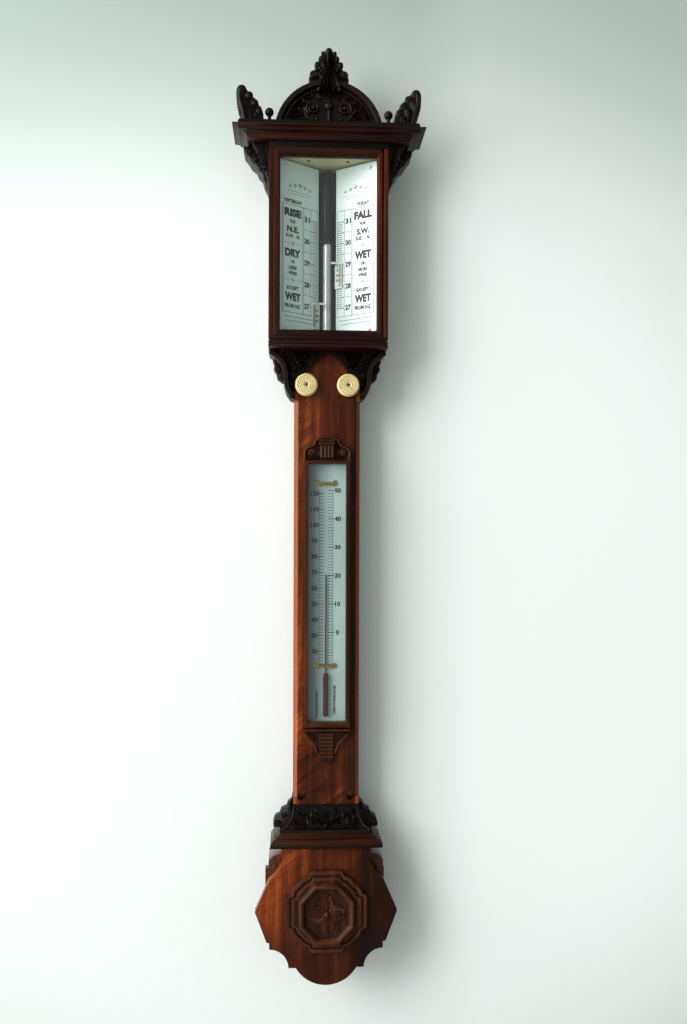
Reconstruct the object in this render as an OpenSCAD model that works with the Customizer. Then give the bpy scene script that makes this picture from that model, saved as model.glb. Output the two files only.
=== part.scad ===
// Wall stick barometer in a carved case: glazed head, two rack-driven verniers, thermometer and cistern.
// The front faces -Y, the wall is the plane y = 0, +Z is up, and the origin is the hanger plate's hole.
// Heights are measured from the lowest edge of the base; "front" and "back" are distances from the wall.

/* [Hanging] */
// Distance of the hanger hole below the cornice
hanger_drop = 25.1; // [23.1:1:60.1]
// Radius of the hanger hole
hanger_r = 4; // [3:0.5:5]
// Thickness of the brass hanger plate
hanger_t = 2.5; // [2:0.5:3]

/* [Backboard] */
// Thickness of the backboard
board_t = 12; // [11:0.5:14]

/* [Trunk] */
// Width of the trunk
trunk_w = 77; // [76:0.5:80]
// Distance of the trunk's front face from the wall
trunk_front = 40; // [39:0.5:42]
// Width of the chamfer along the trunk's front edges
trunk_chamfer = 5; // [3:0.5:6]
// Width of the groove that holds the tube
groove_w = 15; // [13:0.5:17]
// Thickness of the trunk wall in front of the works
bay_wall = 6; // [5:0.5:7]
// Thickness of the trunk walls beside the works
bay_side = 5; // [4:0.5:5.5]

/* [Head] */
// Height of the underside of the head
head_bottom = 730; // [727:0.5:732]
// Width of the head
head_w = 136.6; // [136:0.2:140]
// Distance of the head's front from the wall
head_front = 68; // [67:0.5:72]
// Thickness of the head's sides
side_t = 9; // [8:0.5:10]
// Width of the case edge that shows beside the door
lip_w = 5; // [4:0.5:6]
// Thickness of the moulded floor board
floor_t = 12; // [11:0.5:13]
// Height of the door
door_h = 215.3; // [213:0.1:220]
// Thickness of the board above the door
frieze_t = 7.2; // [6:0.2:9]
// Depth that the ceiling board hangs behind the door's top rail
ceiling_drop = 7.8; // [6:0.2:9]

/* [Door] */
// Thickness of the door frame
door_t = 8; // [7:0.5:9]
// Width of the door's stiles
stile_w = 7.6; // [7:0.2:8.4]
// Width of the door's top rail
top_rail_w = 9.6; // [8:0.2:11]
// Thickness of the door glass
pane_t = 2; // [1.6:0.2:2.4]
// Depth of the rebate that holds the glass beside the opening
rebate_w = 2.6; // [2:0.2:3]
// Radius of the door's pivot pins
pivot_r = 1.5; // [1.2:0.1:1.6]
// Length of each pivot pin inside the door
pivot_in = 4.4; // [3.5:0.1:4.6]

/* [Register plates] */
// Width of each register plate
plate_w = 55.4; // [54:0.2:56]
// Thickness of the register plates
plate_t = 3; // [2.5:0.5:3.5]
// Angle of each plate to the front
plate_cant = 35; // [34:0.5:36]
// Half the gap between the plates at their inner front edges
slot_half = 10.4; // [10.2:0.1:10.8]
// Distance of the plates' inner front edges from the wall
slot_front = 26; // [25.6:0.1:26.4]

/* [Barometer tube] */
// Outer radius of the wide part of the tube
tube_r = 8.5; // [8.2:0.1:8.6]
// Outer radius of the narrow part of the tube
stem_r = 4.5; // [4:0.1:5]
// Radius of the bore in the wide part
bore_r = 5; // [4.6:0.1:5.4]
// Radius of the bore in the narrow part
stem_bore_r = 2.4; // [2:0.1:2.8]
// Distance of the tube's axis from the wall
tube_y = 24; // [23.8:0.1:24.4]
// Height of the mercury in the cistern
cistern_level = 98; // [97:0.5:100]
// Pressure shown, inches of mercury
pressure = 30.05; // [28.5:0.05:30.8]

/* [Verniers] */
// Reading of the left vernier, inches
left_reading = 27.2; // [27.1:0.1:30.9]
// Reading of the right vernier, inches
right_reading = 29.1; // [27.1:0.1:30.9]
// Lowest reading on the register plates, inches
scale_low = 27; // [27:1:28]
// Highest reading on the register plates, inches
scale_high = 31; // [30:1:31]
// Length of a vernier
vernier_h = 30; // [26:1:30]
// Width of a vernier
vernier_w = 9.4; // [8:0.2:10]
// Thickness of a vernier
vernier_t = 1.4; // [1.2:0.1:1.6]

/* [Setting knobs] */
// Radius of each knob
knob_r = 13.4; // [12:0.2:13.6]
// Thickness of each knob
knob_t = 8; // [7:0.5:10]
// Distance between the knobs' centres
knob_spacing = 49; // [48:0.1:49.4]
// Distance of the knobs below the head
knob_drop = 39.2; // [38:0.2:44]
// Radius of the spindles
spindle_r = 2.5; // [2.2:0.1:2.8]
// Module of the rack and pinion teeth
tooth_module = 0.8; // [0.7:0.02:0.82]
// Teeth on each pinion
pinion_teeth = 16; // [15:1:16]
// Width of a rack rod across its back
rack_t = 4; // [3.5:0.1:4.2]

/* [Thermometer] */
// Width of the thermometer frame
thermo_w = 55.6; // [54:0.2:58]
// Height of the thermometer frame
thermo_h = 309.5; // [306:0.5:312]
// Height of the frame's lower edge
thermo_bottom = 292.5; // [290:0.5:295]
// Depth of the frame in front of the trunk
thermo_depth = 12; // [11.5:0.5:14]
// Width of the frame's moulding
thermo_rim = 7.6; // [7:0.2:9]
// Thickness of the thermometer plate
thermo_plate_t = 2; // [1.5:0.5:2.5]
// Radius of the thermometer's stem
thermo_stem_r = 2; // [1.8:0.1:2.4]
// Radius of the thermometer's bulb
thermo_bulb_r = 3.1; // [2.8:0.1:3.3]
// Height of the carved crest above the frame
crest_h = 30; // [26:0.5:32]
// Height of the carved corbel below the frame
corbel_h = 42; // [38:0.5:46]

/* [Base] */
// Height of the underside of the base moulding
base_top = 157; // [156:0.5:159]
// Half the width across the side corners of the base
base_half = 81.6; // [80:0.2:84]
// Distance of the base board's front from the wall
base_front_d = 62; // [61:0.5:64]
// Thickness of the base's front board
base_board_t = 14; // [12:0.5:16]
// Wall of the box behind the front board
base_wall = 9; // [8:0.5:11]
// Half the size of the boss
boss_half = 47; // [44:0.5:48]
// Thickness of the boss's plaque
boss_t = 6; // [5:0.5:8]
// Height of the moulding between base and skirt
base_mould_h = 16; // [14:0.5:17]
// Height of the carved skirt
skirt_h = 29; // [27:0.5:32]

/* [Cornice and pediment] */
// Height of the cornice
cornice_h = 10.5; // [9.5:0.5:12.5]
// Distance that the cornice stands out beyond its lowest edge
cornice_out = 17; // [15:0.5:18]
// Half the width of the cornice's lowest edge
cornice_half = 92; // [90:0.5:94]
// Distance of the cornice's back from the wall
cornice_back = 28; // [24:0.5:32]
// Height of the step on the cornice
blocking_h = 7.5; // [6:0.5:9]
// Radius of the arched pediment
arch_r = 62.5; // [60:0.5:63]
// Distance of the arch's centre below the step's top
arch_sink = 9; // [7:0.5:12]
// Distance of the arch board's front from the wall
arch_front = 60; // [58:0.5:62]
// Thickness of the arch board
arch_t = 14; // [12:0.5:18]
// Height of the corner ears
ear_h = 42; // [40:0.5:46]

/* [Cistern] */
// Outer radius of the boxwood cistern
cistern_r = 17; // [16:0.5:17.5]
// Height of the boxwood cistern
cistern_h = 50; // [48:0.5:54]
// Wall of the boxwood cistern
cistern_wall = 4; // [3.5:0.5:5]
// Rise of the portable screw's pad
pad_rise = 5; // [4:0.5:5]

/* [Fits] */
// Radial clearance of a turning shaft
run_gap = 0.05; // [0.03:0.01:0.08]
// Clearance round a piece that slides
slide_gap = 0.2; // [0.15:0.05:0.3]
// Clearance between the door and its case
door_gap = 0.3; // [0.25:0.05:0.4]
// Clearance between pieces that only lie close
near_gap = 0.3; // [0.2:0.05:0.35]

/* [Hidden] */
$fn = 48;
inch = 25.4;
e = 0.01; // overcut of a through hole

WOOD = "#74391a";
CARVED = "#3c1d10";
BRASS = "#b5914a";
OPAL = "#e4ece6";
IVORY = "#efe2b4";
GLASS = "#c8d8d8";
QUICKSILVER = "#c9cccf";
BOXWOOD = "#c69a55";

// hanger plate and its screws
hanger_half_w = 16;
hanger_half_h = 22;
hanger_screw_x = 11;
hanger_screw_z = 16;
hanger_screw_r = 1.5;
hanger_screw_head = 3;

// head
head_half = head_w / 2;
head_floor_top = head_bottom + floor_t;
door_bottom = head_floor_top + door_gap;
door_top = door_bottom + door_h;
frieze_bottom = door_top + door_gap;
frieze_top = frieze_bottom + frieze_t;
hanger_height = frieze_top - hanger_drop;
ceiling_bottom = frieze_bottom - ceiling_drop;
side_inner = head_half - side_t;
door_half = head_half - lip_w - door_gap;
door_back = head_front - door_t;
door_stop = door_back - door_gap;
view_half = door_half - stile_w;
view_bottom = door_bottom + stile_w;
view_top = door_top - top_rail_w;
pane_front = door_back + 4.5;
pane_back = pane_front - pane_t;
pivot_x = door_half - door_t / 2;
pivot_y = door_back + door_t / 2;
pin_in_floor = 7;
bevel_w = 2;

// cornice and pediment
cornice_top = frieze_top + cornice_h;
cornice_front = head_front + 2;
step_side = 11; // from the cornice's lowest edge to the step's side
step_top = cornice_top + blocking_h;
step_half = cornice_half + step_side;
step_front = head_front + 12;
arch_z = step_top - arch_sink;
arch_top = arch_z + arch_r;
rim_w = 7.6;
bead_w = 3.4;
rim_out = 6;
leaf_front = arch_front + rim_out + 5;
ball_r = 5;
ball_x = arch_r + 5.4;
ball_y = step_front - 13;
ear_out = step_half + 2.4;
ear_w = ear_out - ball_x - ball_r - 1.5;

// scale and mercury
zero_z = cistern_level;
function scale_z(reading) = zero_z + reading * inch;
mercury_top = scale_z(pressure);
plate_bottom = head_floor_top + 6;
plate_screw_in = 6;
plate_screw_r = 1.4;
plate_top = ceiling_bottom - 2;
tube_top = ceiling_bottom - 1;
tube_neck = head_bottom + 4;
neck_h = 14;
arm_t = 0.8;
arm_x = slot_half - 1.45;
arm_front = tube_y + tube_r + 1.6;

// rack and pinion
pitch_r = tooth_module * pinion_teeth / 2;
tooth_pitch = PI * tooth_module;
knob_x = knob_spacing / 2;
knob_z = head_bottom - knob_drop;
rack_face = knob_x - pitch_r;
rack_back = rack_face - rack_t;
works_y = 18.5;
rack_depth = 4;
pinion_depth = 5;
pivot_end_r = spindle_r - 0.5;
tooth_root = 1.15 * tooth_module;
tooth_tip = 0.8 * tooth_module;
overrun = 2;
rack_end = 6;
bay_bottom = knob_z - (scale_high - scale_low) * inch - 2 * rack_end - 2 * overrun;
bay_half = trunk_w / 2 - bay_side;
bay_front = trunk_front - bay_wall;

// thermometer
thermo_front = trunk_front + thermo_depth;
thermo_top = thermo_bottom + thermo_h;
thermo_half = thermo_w / 2;
thermo_pane = thermo_front - 1.8;
thermo_pane_t = 1.4;
thermo_rebate = thermo_rim - 2.2;
thermo_step = 2.4; // depth of the frame's outer and inner steps
thermo_x = -1;
thermo_z120 = thermo_bottom + 270.5; // height of the 120 degree mark
degree = 1.865; // length of one degree Fahrenheit
degrees_shown = 70;
spirit_top = thermo_z120 - (120 - degrees_shown) * degree;
thread_r = 0.8;
bulb_top = thermo_bottom + 63;
bulb_bottom = thermo_bottom + 12;
plate_face = trunk_front + thermo_plate_t;
stem_y = plate_face + thermo_stem_r;

// base
skirt_bottom = base_top + base_mould_h;
skirt_top = skirt_bottom + skirt_h;
skirt_half = trunk_w / 2 + 14.8;
skirt_front = trunk_front + 15;
vertex_z = 84.4; // height of the side corners
foot_r = 40.1; // radius of the rounded foot
boss_z = 85.5;
shoulder_x = 51.5;
hollow_r = 49.6; // of the shallow hollows below the shoulders
box_half = 66.4;
shelf_z = 118; // where the backboard widens behind the box
screw_x = 28.5; // of the case screws below the thermometer
screw_z = skirt_top + 9;
sunk_r = 5;
sunk_d = 9;
box_front = base_front_d - base_board_t;
boss_front = base_front_d + boss_t;
boss_field = boss_front + 5;
boss_rim = boss_field + 5;

// cistern
cistern_z = 66;
cistern_top = cistern_z + cistern_h;
tube_foot = cistern_z + 8;
bag_h = pad_rise + 2;
pad_t = 3;
pad_r = 9;
screw_r = 3;
pad_top = cistern_z - bag_h - near_gap;
hollow_bottom = pad_top - pad_t - 2;

// points along an arc
function arc(cx, cy, r, from, to, n = 8) =
    [for (i = [0:n]) let (a = from + (to - from) * i / n) [cx + r * cos(a), cy + r * sin(a)]];

// the left half of an outline, as the mirror image of its right half
function both(points) =
    concat(points, [for (i = [len(points) - 1:-1:0]) [-points[i][0], points[i][1]]]);

// a slender leaf from its root upwards
function leaf(length, width, n = 7) =
    let (side = [for (i = [0:n]) let (t = i / n) [width / 2 * pow(sin(180 * pow(t, 0.8)), 0.8),
        length * t]])
    concat(side, [for (i = [n - 1:-1:1]) [-side[i][0], side[i][1]]]);

// a band that winds inwards from radius r to its eye, wider at its outer end
function volute(r, eye, turns, width, n = 28) =
    let (outer = [for (i = [0:n]) let (t = i / n, a = 360 * turns * t) (r - (r - eye) * t) * [cos(a),
        sin(a)]])
    let (inner = [for (i = [n:-1:0]) let (t = i / n, a = 360 * turns * t)
        (r - (r - eye) * t - width * (1 - 0.4 * t)) * [cos(a), sin(a)]])
    concat(outer, inner);

// moves heights from the lowest edge to the hanger hole
module hung() { translate([0, 0, -hanger_height]) children(); }

// a front outline (x and height) made solid between two distances from the wall
module slab(front, back) {
    translate([0, -back, 0]) rotate([90, 0, 0]) linear_extrude(front - back) children();
}

// a plan outline (x and y) made solid between two heights
module rise(bottom, top) { translate([0, 0, bottom]) linear_extrude(top - bottom) children(); }

// a plan rectangle between two x values and two distances from the wall
module plan(x0, x1, front, back) { translate([x0, -front]) square([x1 - x0, front - back]); }

// a front rectangle between two x values and two heights
module panel(x0, x1, z0, z1) { translate([x0, z0]) square([x1 - x0, z1 - z0]); }

// mirrors what is drawn for the right side
module sided(side) { mirror([side < 0 ? 1 : 0, 0, 0]) children(); }

// a round bar along Y between two distances from the wall
module rod_y(x, z, r, front, back) {
    translate([x, -back, z]) rotate([90, 0, 0]) cylinder(h = front - back, r = r);
}

// a turned shape along Y: points are [radius, distance from the wall]
module turned_y(x, z, points) {
    translate([x, 0, z]) rotate([90, 0, 0]) rotate_extrude() polygon(points);
}

// a block with the same moulded edge at its front and on both sides
module moulded(half, front, back, edge) {
    intersection() {
        slab(front + 40, back) polygon(both([for (p = edge) [half + p[0], p[1]]]));
        translate([-half - 40, 0, 0]) rotate([90, 0, 90]) linear_extrude(2 * half + 80)
            polygon(concat([for (p = edge) [-front - p[0], p[1]]],
                [[-back, edge[len(edge) - 1][1]], [-back, edge[0][1]]]));
    }
}

// front outlines

module base_outline() {
    difference() {
        polygon(both(concat([[shoulder_x, base_top], [shoulder_x, base_top - 8],
            [shoulder_x - 4, base_top - 11], [shoulder_x + 15, base_top - 11],
            [shoulder_x + 15, base_top - 38.5],
            [base_half, vertex_z], [68.4, 49.6], [65.2, 48.9], [65.2, 30], [56, 20.2]],
            arc(0, foot_r, foot_r, -30, -88, 10))));
        for (s = [-1, 1]) sided(s) {
            intersection() {
                translate([shoulder_x + 45.2, base_top + 2]) circle(r = hollow_r);
                panel(shoulder_x - 5, shoulder_x + 16, base_top - 60, base_top - 11);
            }
            translate([65.2, 19.6]) circle(r = 22);
        }
    }
}

// right half of the box behind the front board, from its top down
box_points = [[50, base_top], [51, base_top - 9], [box_half - 6, base_top - 12.5], [box_half, base_top - 18],
    [box_half, 62], [58, 50], [42, 30], [30, 16]];

// right half of the backboard's foot, which is wider than the box from its shelf down
foot_points = [[50, base_top], [51, base_top - 9], [box_half - 6, base_top - 12.5], [box_half, base_top - 18],
    [box_half, shelf_z], [box_half + 4.6, shelf_z], [box_half + 4.6, 66], [60, 50], [42, 30], [30, 16]];

// a square with short arms and cut corners
module boss_outline(half) {
    corner = [[1, 0.39], [0.875, 0.44], [0.835, 0.56], [0.56, 0.835], [0.44, 0.875], [0.39, 1]];
    polygon([for (q = [0:90:270]) for (p = corner)
        half * [p[0] * cos(q) - p[1] * sin(q), p[0] * sin(q) + p[1] * cos(q)]]);
}

module octagon(half) { rotate(22.5) circle(r = half / cos(22.5), $fn = 8); }

// case

module backboard() {
    color(WOOD) hung() difference() {
        slab(board_t, 0) polygon(both(concat([[head_half, frieze_top], [head_half, head_bottom],
            [trunk_w / 2, head_bottom], [trunk_w / 2, base_top]], foot_points)));
        slab(hanger_t, -e) hanger_outline();
        rod_y(0, hanger_height, 2 * hanger_r, board_t - 2, -e);
        // hollow for the back of the cistern and its bag
        translate([0, -tube_y, hollow_bottom]) cylinder(h = cistern_top + 2 - hollow_bottom,
            r = cistern_r + near_gap);
        for (s = [-1, 1]) {
            for (z = [-1, 1])
                rod_y(s * hanger_screw_x, hanger_height + z * hanger_screw_z, hanger_screw_r, board_t - 2,
                    0);
            rod_y(s * knob_x, knob_z, pivot_end_r + run_gap, board_t + e, board_t - 6);
        }
    }
}

module hanger_outline() {
    panel(-hanger_half_w, hanger_half_w, hanger_height - hanger_half_h, hanger_height + hanger_half_h);
}

module hanger_plate() {
    color(BRASS) hung() difference() {
        slab(hanger_t, 0) hanger_outline();
        rod_y(0, hanger_height, hanger_r, hanger_t + e, -e);
        for (s = [-1, 1]) for (z = [-1, 1])
            turned_y(s * hanger_screw_x, hanger_height + z * hanger_screw_z,
                [[0, -e], [hanger_screw_head, -e],
                [hanger_screw_head, 0], [hanger_screw_r, hanger_screw_r], [hanger_screw_r, hanger_t + e],
                    [0, hanger_t + e]]);
    }
}

module hanger_screws() {
    color(BRASS) hung() for (s = [-1, 1]) for (z = [-1, 1])
        turned_y(s * hanger_screw_x, hanger_height + z * hanger_screw_z, [[0, 0], [hanger_screw_head, 0],
            [hanger_screw_r, hanger_screw_r], [hanger_screw_r, board_t - 2.4], [0, board_t - 2]]);
}

module trunk() {
    edge = trunk_w / 2;
    chamfer_bottom = skirt_top + 8;
    chamfer_top = knob_z - 18;
    color(WOOD) hung() difference() {
        rise(base_top, head_bottom) plan(-edge, edge, trunk_front, board_t);
        // chamfered front edges, stopped above and below
        for (s = [-1, 1]) sided(s) rise(chamfer_bottom, chamfer_top) polygon([
            [edge - trunk_chamfer, -trunk_front - e], [edge + e, -trunk_front - e],
            [edge + e, -trunk_front + trunk_chamfer]]);
        // bay for the racks and pinions
        rise(bay_bottom, head_bottom + e) plan(-bay_half, bay_half, bay_front, board_t - e);
        // groove for the tube
        rise(base_top - e, bay_bottom + e) plan(-groove_w / 2, groove_w / 2, tube_y + groove_w / 2,
            board_t - e);
        for (s = [-1, 1]) {
            rod_y(s * knob_x, knob_z, 2 * spindle_r, trunk_front + e, bay_front - e);
            // pockets of the case screws
            rod_y(s * screw_x, screw_z, sunk_r, trunk_front + e, trunk_front - sunk_d);
            rod_y(s * screw_x, screw_z, sunk_r * 0.4, trunk_front, board_t - e);
        }
    }
}

module trunk_screws() {
    seat = trunk_front - sunk_d;
    color(BRASS) hung() for (s = [-1, 1]) difference() {
        turned_y(s * screw_x, screw_z, [[0, board_t], [sunk_r * 0.4, board_t], [sunk_r * 0.4, seat],
            [sunk_r * 0.8, seat], [sunk_r * 0.8, seat + 1.5], [0, seat + 2]]);
        // driver slot
        translate([s * screw_x - sunk_r, -seat - 3, screw_z - 0.5]) cube([2 * sunk_r, 2, 1]);
    }
}

module head_sides() {
    color(WOOD) hung() for (s = [-1, 1]) sided(s) rise(head_floor_top, frieze_bottom) difference() {
        plan(side_inner, head_half, head_front, board_t);
        plan(side_inner - e, head_half - lip_w, head_front + e, door_stop);
    }
}

module head_ceiling() {
    color(IVORY) hung() difference() {
        union() {
            rise(ceiling_bottom, frieze_bottom) plan(-side_inner, side_inner, door_stop, board_t);
            rise(frieze_bottom, frieze_top) plan(-head_half, head_half, head_front, board_t);
        }
        translate([pivot_x, -pivot_y, frieze_bottom - e]) cylinder(h = frieze_t + 2 * e, r = pivot_r);
    }
}

// bands of the moulded floor board, from its lower edge up
function floor_edge() = concat([[0, head_bottom], [0, head_bottom + 3.2]],
    arc(-1.8, head_bottom + 5.4, 1.8, -70, 70, 5),
    [[-1.6, head_bottom + 7.6], [-1.6, head_bottom + 8.6], [0, head_bottom + 9.4], [0, head_floor_top]]);

module head_floor() {
    color(WOOD) hung() difference() {
        moulded(head_half, head_front, board_t, floor_edge());
        // way for the tube and the racks
        rise(head_bottom - e, head_floor_top + e) plan(-rack_face - 4, rack_face + 4, bay_front,
            board_t - e);
        translate([pivot_x, -pivot_y, head_floor_top - pin_in_floor]) cylinder(h = pin_in_floor + e,
            r = pivot_r);
    }
}

// profile of the cornice in shares of its reach and height: fillet, cove, ovolo and top fillet
function cornice_edge() = [for (p = concat([[0, 0], [0, 0.13], [0.07, 0.13]],
    [for (a = [15:15:90]) [0.07 + 0.47 * (1 - cos(a)), 0.13 + 0.5 * sin(a)]],
    [[0.6, 0.63], [0.6, 0.7], [0.64, 0.79], [0.74, 0.86], [0.92, 0.89], [1, 0.89], [1, 1]]))
    [p[0] * cornice_out, frieze_top + p[1] * cornice_h]];

module cornice() { color(WOOD) hung() moulded(cornice_half, cornice_front, cornice_back, cornice_edge()); }

module blocking() {
    color(CARVED) hung() moulded(step_half, step_front, cornice_back,
        [[0, cornice_top], [0, step_top - 2], [-1.2, step_top - 1.2], [-1.2, step_top]]);
}

module arch_disc(r) {
    intersection() {
        translate([0, arch_z]) circle(r = r);
        panel(-arch_r - 1, arch_r + 1, step_top, arch_top + 1);
    }
}

module pediment() {
    color(CARVED) hung() {
        slab(arch_front, arch_front - arch_t) arch_disc(arch_r);
        slab(arch_front + rim_out, arch_front) difference() {
            arch_disc(arch_r);
            arch_disc(arch_r - rim_w);
        }
        slab(arch_front + rim_out / 2, arch_front) difference() {
            arch_disc(arch_r - rim_w);
            arch_disc(arch_r - rim_w - bead_w);
        }
    }
}

volute_x = 19;
volute_z = step_top + 20;
volute_r = 10;

module volutes() {
    color(CARVED) hung() intersection() {
        for (s = [-1, 1]) sided(s) {
            slab(arch_front + 4, arch_front) {
                translate([volute_x, volute_z]) rotate(70) polygon(volute(volute_r, 4.6, 1.5, 2.6));
                translate([volute_x + 11, volute_z - 10]) rotate(-58) polygon(leaf(20, 7));
                translate([volute_x + 12, volute_z + 4]) rotate(-84) polygon(leaf(16, 6));
                translate([volute_x + 2, volute_z + 12]) rotate(-62) polygon(leaf(17, 6));
            }
            rod_y(volute_x, volute_z, 2.6, arch_front + 5, arch_front);
        }
        slab(arch_front + 9, arch_front) arch_disc(arch_r - rim_w - bead_w - 0.2);
    }
}

// palmette: stepped lobes that grow towards two scrolls, over a fluted leaf that laps the arch
module finial() {
    color(CARVED) hung() {
        slab(arch_front + 2, arch_front - 10) difference() {
            union() {
                translate([0, arch_top]) polygon(both([[3, 36], [9, 26], [13, 16], [20, 8], [23.6, 2],
                    [22.4, -5], [8, -6]]));
                translate([0, arch_top + 36]) circle(r = 4.4);
                for (s = [-1, 1]) for (p = [[6.1, 33, 3], [8.4, 27, 3.5], [12.8, 20, 4], [18.6, 8.8, 6.2]])
                    translate([s * p[0], arch_top + p[1]]) circle(r = p[2]);
            }
            arch_disc(arch_r);
        }
        slab(arch_front + rim_out, arch_front + 2) {
            translate([0, arch_top + 2]) polygon(leaf(36, 9));
            for (s = [-1, 1]) {
                translate([s * 2.4, arch_top + 3]) rotate(-s * 16) polygon(leaf(27, 6));
                translate([s * 18.6, arch_top + 8.8]) circle(r = 3.4);
            }
        }
        // fluted leaf down the face of the arch
        slab(leaf_front, arch_front + rim_out) for (a = [-26, -9, 9, 26])
            translate([a / 5, arch_top + 12]) rotate(180 + a * 0.55) polygon(leaf(32, 6.4));
        intersection() {
            union() {
                translate([0, -arch_front - 2, step_top + 24]) sphere(r = 5.2);
                turned_y(0, step_top + 24, [[0, arch_front], [3.4, arch_front], [3.4, arch_front + 3],
                    [0, arch_front + 3]]);
                slab(arch_front + 4, arch_front)
                    polygon(both([[2.4, step_top + 19.5], [3, step_top + 12], [6.4, step_top + 6],
                        [6.4, step_top]]));
            }
            slab(arch_front + 9, arch_front) panel(-9, 9, step_top, step_top + 30);
        }
    }
}

// one corner ear: a standing leaf with stepped lobes on its inner side
module ear_scroll(side) {
    color(CARVED) hung() sided(side) {
        slab(head_front + 4, head_front - 14) translate([ear_out, step_top]) {
            polygon([for (p = [[0.2, 0], [0.2, 0.24], [0.1, 0.28], [0.02, 0.5], [0, 0.74], [0.2, 0.96],
                [0.46, 0.8], [0.6, 0.61], [0.76, 0.43], [0.9, 0.24], [1, 0.15], [1, 0]])
                [-p[0] * ear_w, p[1] * ear_h]]);
            for (p = [[0.2, 0.864, 0.136], [0.47, 0.7, 0.122], [0.68, 0.5, 0.11], [0.84, 0.28, 0.104]])
                translate([-p[0] * ear_w, p[1] * ear_h]) circle(r = p[2] * ear_h);
        }
        slab(head_front + 7, head_front + 4) {
            translate([ear_out - 0.76 * ear_w, step_top + 2]) rotate(-25) polygon(leaf(0.9 * ear_h, 8));
            translate([ear_out - 0.55 * ear_w, step_top + 2]) rotate(-18) polygon(leaf(0.74 * ear_h, 7));
            translate([ear_out - 0.34 * ear_w, step_top + 2]) rotate(-8) polygon(leaf(0.62 * ear_h, 6));
        }
    }
}

module left_ear() { ear_scroll(-1); }

module right_ear() { ear_scroll(1); }

module cornice_balls() {
    color(CARVED) hung() for (s = [-1, 1]) translate([s * ball_x, -ball_y, step_top]) rotate_extrude()
        polygon(concat([[0, 0], [4, 0], [4, 2], [2.2, 3.4], [2, 8]],
            arc(0, ball_r + 8, ball_r, -66, 90, 12)));
}

// one bracket under the cornice: a plain curved core with a scalloped leaf on its outer side
module upper_bracket(side) {
    top = frieze_top;
    color(CARVED) hung() sided(side) {
        slab(door_back, board_t) difference() {
            panel(head_half, head_half + 20, top - 64, top);
            translate([head_half + 62, top - 58]) circle(r = 61);
            panel(head_half + 12, head_half + 21, top - 65, top - 40);
        }
        slab(door_back - 8, board_t + 10) difference() {
            union() {
                translate([head_half + 22.5, top - 7.6]) circle(r = 7.6);
                translate([head_half + 17.5, top - 17]) circle(r = 7);
                translate([head_half + 11, top - 28]) circle(r = 7);
                translate([head_half + 5.5, top - 39]) circle(r = 6);
                polygon([[head_half, top], [head_half + 30, top], [head_half + 30, top - 6],
                    [head_half + 8, top - 44],
                    [head_half, top - 52]]);
            }
            panel(head_half - 20, head_half, top - 80, top + 1);
            panel(head_half - 20, head_half + 40, top, top + 20);
        }
    }
}

module left_upper_bracket() { upper_bracket(-1); }

module right_upper_bracket() { upper_bracket(1); }

// one bracket under the head: a curved rib, a leafy wing outside it and a carved spandrel on the trunk
module lower_bracket(side) {
    edge = trunk_w / 2;
    rib_top = head_bottom;
    color(CARVED) hung() sided(side) {
        // rib and wing beside the trunk
        slab(trunk_front + 10, board_t) difference() {
            union() {
                polygon([[edge, rib_top], [head_half, rib_top], [head_half - 1, rib_top - 3],
                    [head_half - 11, rib_top - 11],
                    [head_half - 17, rib_top - 23], [head_half - 19, rib_top - 40],
                        [head_half - 21, rib_top - 50], [edge, rib_top - 57]]);
                for (p = [[11.3, 11.4, 5.6], [12.3, 20, 5.4], [16.8, 28, 4.8]])
                    translate([head_half - p[0], rib_top - p[1]]) circle(r = p[2]);
            }
            panel(0, edge, rib_top - 60, rib_top);
        }
        // spandrel on the trunk's face, open below the arch
        slab(trunk_front + 8, trunk_front) difference() {
            panel(0, edge, rib_top - 56, rib_top);
            translate([-22, rib_top - 48]) circle(r = 53);
            translate([knob_x, knob_z]) circle(r = knob_r + 1);
            panel(-1, knob_x, rib_top - 57, knob_z);
        }
        slab(trunk_front + 12, trunk_front + 8) {
            translate([edge + 14, rib_top - 4]) rotate(148) polygon(leaf(40, 11));
            translate([edge - 5, rib_top - 5]) rotate(165) polygon(leaf(24, 8));
        }
    }
}

module left_lower_bracket() { lower_bracket(-1); }

module right_lower_bracket() { lower_bracket(1); }

// door

module door_frame() {
    color(WOOD) hung() difference() {
        rise(door_bottom, door_top) union() {
            plan(-door_half, pivot_x, head_front, door_back);
            translate([pivot_x, -pivot_y]) circle(r = door_t / 2);
        }
        slab(head_front + e, door_back - e) view_outline(0);
        slab(pane_front, door_back - e) rebate_outline();
        // bevel round the opening
        difference() {
            slab(head_front + e, head_front - bevel_w)
                view_outline(bevel_w);
            slab(head_front + 1, head_front - bevel_w - 1) difference() {
                view_outline(bevel_w + 7);
                view_outline(bevel_w - 0.8);
            }
        }
        for (z = [door_bottom - e, door_top - pivot_in - 0.2])
            translate([pivot_x, -pivot_y, z]) cylinder(h = pivot_in + 0.2 + e, r = pivot_r + run_gap);
    }
}

// the door's opening, enlarged all round by one distance
module view_outline(out) { panel(-view_half - out, view_half + out, view_bottom - out, view_top + out); }

module rebate_outline() { view_outline(rebate_w); }

module door_glass() {
    color(GLASS, 0.3) hung() slab(pane_front, pane_back) rebate_outline();
}

module glazing_bead() {
    color(WOOD) hung() slab(pane_back, door_back) difference() {
        rebate_outline();
        view_outline(0);
    }
}

module door_pins() {
    color(BRASS) hung() translate([pivot_x, -pivot_y, 0]) {
        translate([0, 0, head_floor_top - pin_in_floor]) cylinder(h = pin_in_floor + door_gap + pivot_in,
            r = pivot_r);
        translate([0, 0, head_floor_top]) cylinder(h = door_gap - run_gap, r = pivot_r + 1.2);
        translate([0, 0, door_top - pivot_in]) cylinder(h = pivot_in + door_gap + frieze_t, r = pivot_r);
    }
}

// register plates

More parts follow.
